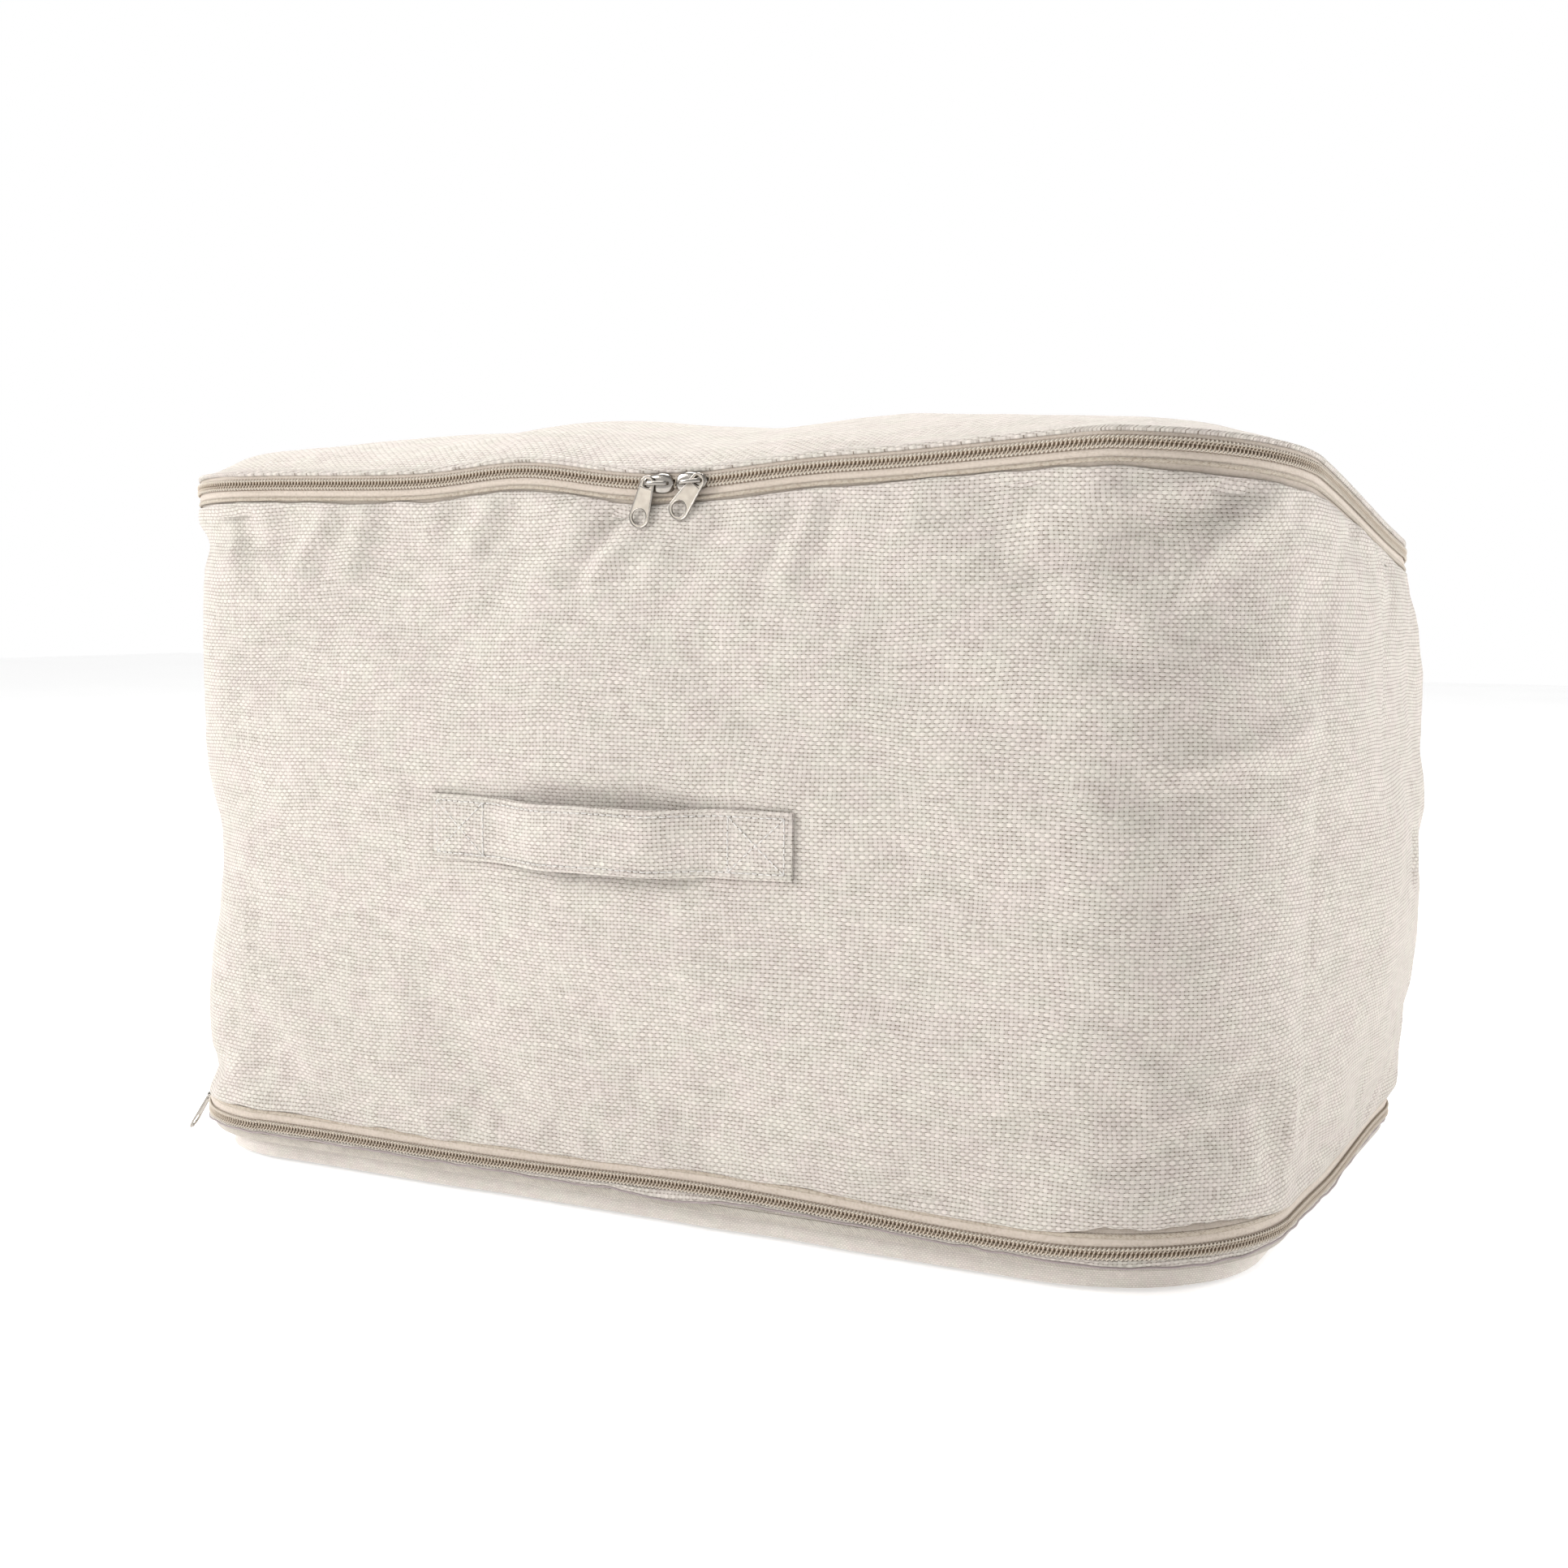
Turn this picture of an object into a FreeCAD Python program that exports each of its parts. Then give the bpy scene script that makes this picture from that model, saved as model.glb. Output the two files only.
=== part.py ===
"""Soft zipped storage bag: a stuffed fabric box with a zipped lid, a zipped expanding base and a strap handle.

Frame: origin on the resting face, under the middle of the base; +X along the length, +Y to the back, +Z up.
Millimetres. The perimeter is followed by a parameter u that counts the eight stretches of a rounded rectangle:
0-1 front, 1-2 front right corner, 2-3 right, 3-4 back right corner, 4-5 back, 5-6 back left corner,
6-7 left and 7-8 front left corner. Offsets are measured outwards from the zip tape's outer face.
"""
import FreeCAD, Part
import os
from math import cos, pi, sin

Vec = FreeCAD.Vector

# Driving dimensions of the bag
BASE_LENGTH, BASE_DEPTH = 602.0, 400.0
TOP_LENGTH, TOP_DEPTH = 606.0, 378.0
RIGHT_RADIUS = 90.0                         # the filled bag sits rounder at its right-hand corners
BASE_LEFT_RADIUS, TOP_LEFT_RADIUS = 72.0, 58.0
BASE = (BASE_LENGTH, BASE_DEPTH, BASE_LEFT_RADIUS)
TOP = (TOP_LENGTH, TOP_DEPTH, TOP_LEFT_RADIUS)
BASE_CHAIN_Z = 22.0                         # centre line of the bottom zip
BACK_EDGE_Z = 322.0                         # top of the back wall, where the lid hinges
FRONT_LOW_Z = 358.5                         # top zip at the two sliders
LEFT_RISE, RIGHT_RISE = 0.0178, 0.0703      # slopes of the top zip away from the sliders
LEFT_LIMIT_Z, RIGHT_LIMIT_Z = 362.6, 373.0
SLIDERS_MIDDLE_X, DIP_HALF, DIP_RISE = 23.0, 14.0, 0.8
LID_CROWN = 40.0
EXPANSION = 50.0                            # height that the unzipped base gives

# How far each wall bellies out between its edges, and how far each corner is drawn in
BELLY = {0: 14.0, 2: 17.0, 4: 12.0, 6: 12.0}
CORNER = {1: 0.0, 3: 12.0, 5: 4.0, 7: -5.6}

# Cloth and zip sections
FABRIC = 1.6
TAPE_OUT, TAPE_IN = -0.5, -1.3
BINDING_OUT, BINDING_IN = -1.8, -2.6
COIL_OUT, COIL_IN, COIL_HALF, COIL_GAP = 2.0, -0.1, 2.9, 0.6
TAPE_WIDTH, BASE_TAPE_DROP = 13.5, 9.4
TAPE_SHOWN = 9.5                            # from the chain's centre to the edge of the wall cloth
LID_RIM = 6.0                               # from the chain's centre to the edge of the lid cloth
ZIP_END = 3.5                               # the top zip stops in the middle of each back corner
PANEL_GAP = 0.005                           # between the two wall panels at each seam, in u

# Inner tapes over the raw edges, by their low and high edges from the chain's centre
BASE_BINDING_SPAN = (-9.0, -5.2)
WALL_LOW_BINDING_SPAN = (7.0, 16.0)
WALL_TOP_BINDING_SPAN = (-17.0, -7.0)
LID_BINDING_SPAN = (1.4, LID_RIM - 0.5)
SEAM_BINDING_HALF, SEAM_BINDING_THICK, SEAM_BINDING_IN = 5.0, 1.2, 1.4
SEAM_BINDING_LOW, SEAM_BINDING_HIGH = 18.0, 19.0
HINGE_PIPING_R = 1.8
GUSSET_OUT, GUSSET_IN, GUSSET_SPARE = -12.6, -13.8, 10.0

HINGE_Y, HINGE_Z = TOP_DEPTH / 2 + 4.0, BACK_EDGE_Z - 0.8

HANDLE_X, HANDLE_Z = -6.0, 192.0
HANDLE_LENGTH, HANDLE_WIDTH, HANDLE_THICK = 200.0, 32.0, 2.4
HANDLE_PATCH, HANDLE_GAP, HANDLE_CLEAR = 36.0, 8.0, 0.4

EYELET_Y, EYELET_Z = 66.0, 174.0
EYELET_FLANGE_R, EYELET_HOLE_R, EYELET_BARREL_R = 7.0, 4.2, 4.9
EYELET_FACE = (0.5, 1.4)                    # flange, outwards from the cloth's face
WASHER_FACE = (-3.0, -2.2)

SLIDER_LENGTH, SLIDER_WIDTH = 16.0, 9.4
LEFT_SLIDER_X, RIGHT_SLIDER_X = 13.4, 31.6
BOTTOM_SLIDER_TURN = 22.0                   # round the front left corner, from the left side
BOTTOM_SLIDER_SET_IN = 0.3                  # a straight slider on a curved chain sits a little inside it
PIVOT_SHIFT = 4.5                           # tab pivot, from the slider's centre towards its tail
TAB_TOP_R, TAB_END_R, TAB_REACH, TAB_HOLE_R = 3.9, 5.7, 16.2, 3.8
TAB_INNER, TAB_OUTER = 4.3, 5.5
PEG_R, PEG_HOLE_R = 0.8, 1.7
BAR_OUT, BAR_R, BAR_HOLE_R, BAR_TO_TAB = 6.0, 0.8, 1.1, 3.2
LEFT_TAB_TILT, RIGHT_TAB_TILT, BOTTOM_TAB_TILT = 15.0, 42.0, 30.0

CORNER_STEPS, RUN_STEPS = 9, 10


def save(name, shape):
    shape.exportStep("parts/%s.step" % name)
    box = shape.BoundBox
    print("%-24s %s %9.0f mm3  %6.1f %6.1f %6.1f" % (
        name, "ok " if shape.isValid() else "BAD", shape.Volume, box.XLength, box.YLength, box.ZLength))


# ---------------------------------------------------------------- perimeter and wall surface

def plan(u, form):
    """Point and outward normal on a rounded rectangle."""
    length, depth, left_radius = form
    left, right = left_radius - length / 2, length / 2 - RIGHT_RADIUS
    stretch, f = int(u // 1) % 8, u - u // 1
    turn = f * pi / 2
    back_l, back_r = depth / 2 - left_radius, depth / 2 - RIGHT_RADIUS
    if stretch == 0:
        return left + (right - left) * f, -depth / 2, 0, -1
    if stretch == 1:
        n = (sin(turn), -cos(turn))
        return right + RIGHT_RADIUS * n[0], -back_r + RIGHT_RADIUS * n[1], n[0], n[1]
    if stretch == 2:
        return length / 2, -back_r + 2 * back_r * f, 1, 0
    if stretch == 3:
        n = (cos(turn), sin(turn))
        return right + RIGHT_RADIUS * n[0], back_r + RIGHT_RADIUS * n[1], n[0], n[1]
    if stretch == 4:
        return right + (left - right) * f, depth / 2, 0, 1
    if stretch == 5:
        n = (-sin(turn), cos(turn))
        return left + left_radius * n[0], back_l + left_radius * n[1], n[0], n[1]
    if stretch == 6:
        return -length / 2, back_l - 2 * back_l * f, -1, 0
    n = (-cos(turn), -sin(turn))
    return left + left_radius * n[0], -back_l + left_radius * n[1], n[0], n[1]


def front_chain_z(x):
    """The top zip's height along the front: it dips to the sliders and rises more to the right."""
    away = x - SLIDERS_MIDDLE_X
    if away < -DIP_HALF:
        return min(FRONT_LOW_Z - LEFT_RISE * (away + DIP_HALF), LEFT_LIMIT_Z)
    if away > DIP_HALF:
        return min(FRONT_LOW_Z + DIP_RISE + RIGHT_RISE * (away - DIP_HALF), RIGHT_LIMIT_Z)
    return FRONT_LOW_Z + DIP_RISE / 2 * (away / DIP_HALF + 1)


def chain_z(x, y):
    """Height of the top zip's centre line: level at the back, rising to the front."""
    v = min(max(y / TOP_DEPTH + 0.5, 0.0), 1.0)
    return BACK_EDGE_Z + (front_chain_z(x) - BACK_EDGE_Z) * (1 - v + 0.04 * sin(2 * pi * v))


def ease(t):
    t = min(max(t, 0.0), 1.0)
    return t * t * (3 - 2 * t)


def belly(u, t):
    """Outward swell of the wall at height fraction t."""
    stretch, f = int(u // 1) % 8, u - u // 1
    if stretch % 2:
        out, drawn = max(CORNER[stretch], 0), min(CORNER[stretch], 0)
    else:
        before, after = CORNER[(stretch - 1) % 8], CORNER[stretch + 1]
        corner = before * (1 - f) + after * f
        share = sin(pi * f) ** 0.8 if 0 < f < 1 else 0.0
        out = BELLY[stretch] * share + max(corner, 0) * (1 - share)
        drawn = min(corner, 0) * (1 - share)
    power = 1.6 if stretch in (0, 7) else 0.9
    swell = max(sin(pi * t), 0) ** power * ease(min(t, 1 - t) / 0.06)
    return out * swell + drawn * ease((t - 0.02) / 0.06) * ease((1 - t - 0.02) / 0.08)


def wall_point(u, z, offset):
    """A point on the wall surface at height z, moved outwards by offset."""
    xb, yb, nx, ny = plan(u, BASE)
    xt, yt, _, _ = plan(u, TOP)
    t = (z - BASE_CHAIN_Z) / (chain_z(xt, yt) - BASE_CHAIN_Z)
    out = belly(u, min(max(t, 0), 1)) + offset
    return Vec(xb + (xt - xb) * t + nx * out, yb + (yt - yb) * t + ny * out, z)


def front_turn(x, z):
    """Parameter of the point of the front wall at x and height z."""
    t = (z - BASE_CHAIN_Z) / (front_chain_z(x) - BASE_CHAIN_Z)
    ends = [plan(u, BASE)[0] * (1 - t) + plan(u, TOP)[0] * t for u in (0, 1)]
    return (x - ends[0]) / (ends[1] - ends[0])


def top_z(u):
    x, y, _, _ = plan(u, TOP)
    return chain_z(x, y)


def dip_turns():
    """Parameters at the two ends of the front zip's dip."""
    low, high = plan(0, TOP)[0], plan(1, TOP)[0]
    return [(SLIDERS_MIDDLE_X + side * DIP_HALF - low) / (high - low) for side in (-1, 1)]


def stations(start, end):
    """Parameter values from start to end, closer together round the corners and at the front zip's dip."""
    values, u = [start] + [d for d in dip_turns() if start < d < end], start
    while u < end - 1e-6:
        steps = CORNER_STEPS if int(u // 1) % 2 else RUN_STEPS
        u = min((int((u + 1e-6) * steps // 1) + 1) / steps, int(u // 1) + 1.0, end)
        values.append(u)
    return sorted(values)


# ---------------------------------------------------------------- solids from sections

def polygon(points):
    return Part.makePolygon(points + [points[0]])


def band(start, end, low, high, outer, inner):
    """A strip that follows the wall surface, between two heights given as functions of u."""
    wires = []
    for u in stations(start, end):
        bottom, top = low(u), high(u)
        heights = [bottom + (top - bottom) * k / 5 for k in range(6)]
        outside = [wall_point(u, z, outer) for z in heights]
        inside = [wall_point(u, z, inner) for z in heights[::-1]]
        wires.append(polygon(outside + inside))
    return Part.makeLoft(wires, True, True)


def wall(start, end, low, high):
    """A wall panel with a curved profile from its bottom edge to its top edge."""
    wires = []
    for u in stations(start, end):
        bottom, top = low(u), high(u)
        heights = [bottom + (top - bottom) * (1 - cos(pi * k / 20)) / 2 for k in range(21)]
        outside = [wall_point(u, z, FABRIC) for z in heights]
        inside = [wall_point(u, z, 0) for z in heights]
        edges = [Part.LineSegment(inside[0], outside[0]).toShape(), spline(outside),
                 Part.LineSegment(outside[-1], inside[-1]).toShape(), spline(inside[::-1])]
        wires.append(Part.Wire(edges))
    return Part.makeLoft(wires, True, True)


def spline(points):
    curve = Part.BSplineCurve()
    curve.interpolate(points)
    return curve.toShape()


def round_band(low, high, outer, inner):
    """A strip all round the wall above the bottom zip, by its heights from the chain's centre."""
    halves = [band(a, b, lambda u: BASE_CHAIN_Z + low, lambda u: BASE_CHAIN_Z + high, outer, inner)
              for a, b in ((0, 4), (4, 8))]
    return halves[0].fuse(halves[1])


def top_band(start, end, low, high, outer, inner):
    """A strip along the wall below the top zip, by its heights from the chain's centre."""
    return band(start, end, lambda u: top_z(u) + low, lambda u: top_z(u) + high, outer, inner)


def ring_rail(start, end, low, high, outer, inner):
    """A strip on the top zip's own line, between two heights measured from the chain's centre."""
    wires = []
    for u in stations(start, end):
        x, y, nx, ny = plan(u, TOP)
        z = chain_z(x, y)
        corners = ((outer, low), (outer, high), (inner, high), (inner, low))
        wires.append(polygon([Vec(x + nx * d, y + ny * d, z + h) for d, h in corners]))
    return Part.makeLoft(wires, True, True)


def outline(offset, form, z):
    """The rounded rectangle as lines and arcs, grown outwards by offset."""
    def at(u):
        x, y, nx, ny = plan(u, form)
        return Vec(x + nx * offset, y + ny * offset, z)
    edges = []
    for stretch in range(8):
        a, m, b = at(stretch), at(stretch + 0.5), at((stretch + 1) % 8)
        edges.append((Part.Arc(a, m, b) if stretch % 2 else Part.LineSegment(a, b)).toShape())
    return Part.Face(Part.Wire(edges))


def slab(offset, low, high, form=BASE):
    return outline(offset, form, low).extrude(Vec(0, 0, high - low))


def hoop(outer, inner, low, high):
    """A level ring that follows the base outline."""
    return slab(outer, low, high).cut(slab(inner, low - 1, high + 1))


def soften_bottom(solid, radius):
    low = solid.BoundBox.ZMin
    edges = [e for e in solid.Edges if abs(e.BoundBox.ZMin - low) < 1e-3 and e.BoundBox.ZLength < 1e-3]
    return solid.makeFillet(radius, edges)


def cylinder(radius, start, end):
    along = end.sub(start)
    return Part.makeCylinder(radius, along.Length, start, along)


# ---------------------------------------------------------------- base, which stays on the floor

BASE_RIM_Z, BASE_TURN = BASE_CHAIN_Z - 6.0, 14.0


def base_panel():
    outside = soften_bottom(slab(1.4, 0, BASE_RIM_Z), BASE_TURN)
    inside = soften_bottom(slab(0, FABRIC, BASE_RIM_Z + 1), BASE_TURN - FABRIC)
    return outside.cut(inside)


def gusset():
    """The fold-away band inside the walls that shows when the bottom zip is open."""
    return hoop(GUSSET_OUT, GUSSET_IN, FABRIC + 0.1, BASE_CHAIN_Z + EXPANSION + GUSSET_SPARE)


# ---------------------------------------------------------------- walls

def wall_top_edge(u):
    """The wall cloth ends below the zip tape, and meets the lid along the back."""
    turn = abs(((u + 8) % 8) - 4.5)
    return top_z(u) - (TAPE_SHOWN - (TAPE_SHOWN - 1.0) * ease((0.98 - turn) / 0.2))


def wall_bottom_edge(u):
    return BASE_CHAIN_Z + TAPE_SHOWN


def handle():
    """The strap follows the wall at its two stitched ends and stands away between them."""
    half = HANDLE_LENGTH / 2
    inner, outer = [], []
    for k in range(25):
        x = -half + 2 * half * k / 24
        run = half - HANDLE_PATCH
        gap = HANDLE_GAP * ease(1.6 * (1 - abs(x) / run)) if abs(x) < run else 0.0
        y = wall_point(front_turn(HANDLE_X + x, HANDLE_Z), HANDLE_Z, FABRIC).y - HANDLE_CLEAR - gap
        inner.append(Vec(HANDLE_X + x, y, HANDLE_Z - HANDLE_WIDTH / 2))
        outer.append(Vec(HANDLE_X + x, y - HANDLE_THICK, HANDLE_Z - HANDLE_WIDTH / 2))
    edges = [spline(inner), Part.LineSegment(inner[-1], outer[-1]).toShape(), spline(outer[::-1]),
             Part.LineSegment(outer[0], inner[0]).toShape()]
    return Part.Face(Part.Wire(edges)).extrude(Vec(0, 0, HANDLE_WIDTH))


def eyelet_seat_x():
    """X of the wall's outer face where the eyelet sits."""
    low_y = plan(2, BASE)[1]
    f = (EYELET_Y - low_y) / (-2 * low_y)
    return wall_point(2 + f, EYELET_Z, FABRIC).x


def disc(radius, x0, x1):
    return cylinder(radius, Vec(x0, EYELET_Y, EYELET_Z), Vec(x1, EYELET_Y, EYELET_Z))


def eyelet_flange():
    face = eyelet_seat_x()
    flange = disc(EYELET_FLANGE_R, face + EYELET_FACE[0], face + EYELET_FACE[1])
    body = flange.fuse(disc(EYELET_BARREL_R, face + WASHER_FACE[0], face + EYELET_FACE[1]))
    return body.cut(disc(EYELET_HOLE_R, face - 4, face + 3))


def eyelet_washer():
    face = eyelet_seat_x()
    body = disc(EYELET_FLANGE_R, face + WASHER_FACE[0], face + WASHER_FACE[1])
    return body.cut(disc(EYELET_BARREL_R + 0.05, face - 4, face - 1))


def corner_seam_bindings():
    """Upright tapes that cover the raw edges where the two wall panels are sewn together."""
    solids = []
    for seam in (3.5, 5.5):
        wires = []
        low, high = BASE_CHAIN_Z + SEAM_BINDING_LOW, top_z(seam) - SEAM_BINDING_HIGH
        for k in range(13):
            z = low + (high - low) * k / 12
            _, _, nx, ny = plan(seam, BASE)
            centre, side = wall_point(seam, z, -SEAM_BINDING_IN), Vec(-ny, nx, 0)
            deep = Vec(-nx, -ny, 0)
            half, thick = SEAM_BINDING_HALF, SEAM_BINDING_THICK
            corners = ((-half, 0), (half, 0), (half, thick), (-half, thick))
            wires.append(polygon([centre + side * s + deep * d for s, d in corners]))
        solids.append(Part.makeLoft(wires, True, True))
    return Part.makeCompound(solids)


# ---------------------------------------------------------------- lid

def lid_height(x, y):
    """Underside of the lid cloth above the zip: a rim round the zip, and a stuffed crown inside it."""
    rim = 0.4 + (LID_RIM - 0.4) * min(max((TOP_DEPTH / 2 - 1 - y) / 22, 0), 1)
    crown = max(1 - abs(2 * x / TOP_LENGTH) ** 3.5, 0) * max(1 - (2 * y / TOP_DEPTH) ** 2, 0)
    return chain_z(x, y) + rim + LID_CROWN * crown


def lid_panel():
    """A crowned sheet over the whole top, trimmed to the rounded outline."""
    grow, wires = 6.0, []
    xs = [(-0.5 + k / 30) * (TOP_LENGTH + 2 * grow) for k in range(31)]
    ys = [(-0.5 + k / 22) * (TOP_DEPTH + 2 * grow) for k in range(23)]
    for y in ys:
        under = [Vec(x, y, lid_height(x, y)) for x in xs]
        over = [p + Vec(0, 0, FABRIC) for p in under]
        edges = [spline(under), Part.LineSegment(under[-1], over[-1]).toShape(), spline(over[::-1]),
                 Part.LineSegment(over[0], under[0]).toShape()]
        wires.append(Part.Wire(edges))
    sheet = Part.makeLoft(wires, True, True)
    return sheet.common(slab(1.2, BACK_EDGE_Z - 20, BACK_EDGE_Z + 200, TOP))


# ---------------------------------------------------------------- sliders and pull tabs
# Built with the chain along X, the outward side along -Y and the tail, which leads when it opens, at -X.

def rounded_plate(length, width, low, high):
    """A slider plate: a block with rounded ends lying across the chain."""
    flat = length - width
    block = Part.makeBox(flat, high - low, width, Vec(-flat / 2, -high, -width / 2))
    for end in (-flat / 2, flat / 2):
        block = block.fuse(cylinder(width / 2, Vec(end, -high, 0), Vec(end, -low, 0)))
    return block.removeSplitter()


def slider_body():
    front = rounded_plate(SLIDER_LENGTH, SLIDER_WIDTH, 2.6, 3.8)
    back = rounded_plate(SLIDER_LENGTH, SLIDER_WIDTH, -2.9, -1.7)
    back = back.common(Part.makeBox(40, 40, 20, Vec(-20, -20, -20.35)))
    web = Part.makeBox(2.6, 6.4, 0.5, Vec(4.0, -3.2, -0.25))
    step = Part.makeBox(2.6, 1.2, 0.6, Vec(4.0, 1.7, -0.5))
    return front.fuse([back, web, step])


def peg_bail():
    """The tab's peg and the bridge that keeps it on."""
    peg = cylinder(PEG_R, Vec(-PIVOT_SHIFT, -3.6, 0), Vec(-PIVOT_SHIFT, -7.0, 0))
    foot = cylinder(PEG_R, Vec(PIVOT_SHIFT, -3.6, 0), Vec(PIVOT_SHIFT, -7.0, 0))
    bridge = Part.makeBox(2 * PIVOT_SHIFT + 2 * PEG_R, 1.2, 2 * PEG_R, Vec(-PIVOT_SHIFT - PEG_R, -7.6, -PEG_R))
    return peg.fuse([foot, bridge])


def bar_bail():
    """A bar along the chain, on two feet, for a tab that folds up and down."""
    feet = [Part.makeBox(1.4, 2.8, 1.6, Vec(x, -6.2, -0.8)) for x in (-5.6, 4.2)]
    bar = cylinder(BAR_R, Vec(-5.6, -BAR_OUT, 0), Vec(5.6, -BAR_OUT, 0))
    return bar.fuse(feet)


def tab_plate():
    """A tapering tab hanging from the origin, with a round hole in its end."""
    tip = Vec(0, 0, -TAB_REACH)
    slope = (TAB_END_R - TAB_TOP_R) / TAB_REACH
    up, out = slope, (1 - slope * slope) ** 0.5
    left = [Vec(-TAB_TOP_R * out, -TAB_OUTER, TAB_TOP_R * up), Vec(-TAB_END_R * out, -TAB_OUTER, TAB_END_R * up)]
    left[1] = left[1] + tip
    right = [Vec(-p.x, p.y, p.z) for p in left]
    edges = [Part.LineSegment(left[0], left[1]).toShape(),
             Part.Arc(left[1], Vec(0, -TAB_OUTER, -TAB_REACH - TAB_END_R), right[1]).toShape(),
             Part.LineSegment(right[1], right[0]).toShape(),
             Part.Arc(right[0], Vec(0, -TAB_OUTER, TAB_TOP_R), left[0]).toShape()]
    plate = Part.Face(Part.Wire(edges)).extrude(Vec(0, TAB_OUTER - TAB_INNER, 0))
    hole = cylinder(TAB_HOLE_R, tip + Vec(0, -10, 0), tip + Vec(0, 0, 0))
    return plate.cut(hole)


def swinging_tab(tilt):
    """Hangs on a peg and swings in the plane of the wall."""
    tab = tab_plate().cut(cylinder(PEG_HOLE_R, Vec(0, -10, 0), Vec(0, 0, 0)))
    tab.rotate(Vec(0, 0, 0), Vec(0, 1, 0), tilt)
    return tab


def folding_tab(tilt):
    """Turns about the bail's bar; tilt is how far it leans out from hanging straight down."""
    middle = (TAB_INNER + TAB_OUTER) / 2
    tab = tab_plate()
    tab.translate(Vec(0, middle, -BAR_TO_TAB))
    tab = tab.common(Part.makeBox(40, 40, 60, Vec(-20, -20, -61.2)))
    knuckle = cylinder(1.9, Vec(-1.8, 0, 0), Vec(1.8, 0, 0))
    tab = tab.fuse(knuckle).cut(cylinder(BAR_HOLE_R, Vec(-6, 0, 0), Vec(6, 0, 0)))
    tab.rotate(Vec(0, 0, 0), Vec(1, 0, 0), -tilt)
    tab.translate(Vec(0, -BAR_OUT, 0))
    return tab


def mirrored(shape):
    return shape.mirror(Vec(0, 0, 0), Vec(1, 0, 0))


def on_front(shape, x, slope):
    """Places a slider piece on the front run of the top zip, level with the chain's slope."""
    shape = shape.copy()
    shape.rotate(Vec(0, 0, 0), Vec(0, 1, 0), -slope)
    shape.translate(Vec(x, -TOP_DEPTH / 2, front_chain_z(x)))
    return shape


def on_corner(shape):
    """Places a slider piece on the bottom zip's front left corner."""
    radius, turn = BASE_LEFT_RADIUS, BOTTOM_SLIDER_TURN * pi / 180
    centre = Vec(radius - BASE_LENGTH / 2, radius - BASE_DEPTH / 2, BASE_CHAIN_Z)
    shape = shape.copy()
    shape.rotate(Vec(0, 0, 0), Vec(0, 0, 1), BOTTOM_SLIDER_TURN - 90)
    shape.translate(centre + Vec(-cos(turn), -sin(turn), 0) * (radius - BOTTOM_SLIDER_SET_IN))
    return shape


# ---------------------------------------------------------------- assembly

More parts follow.
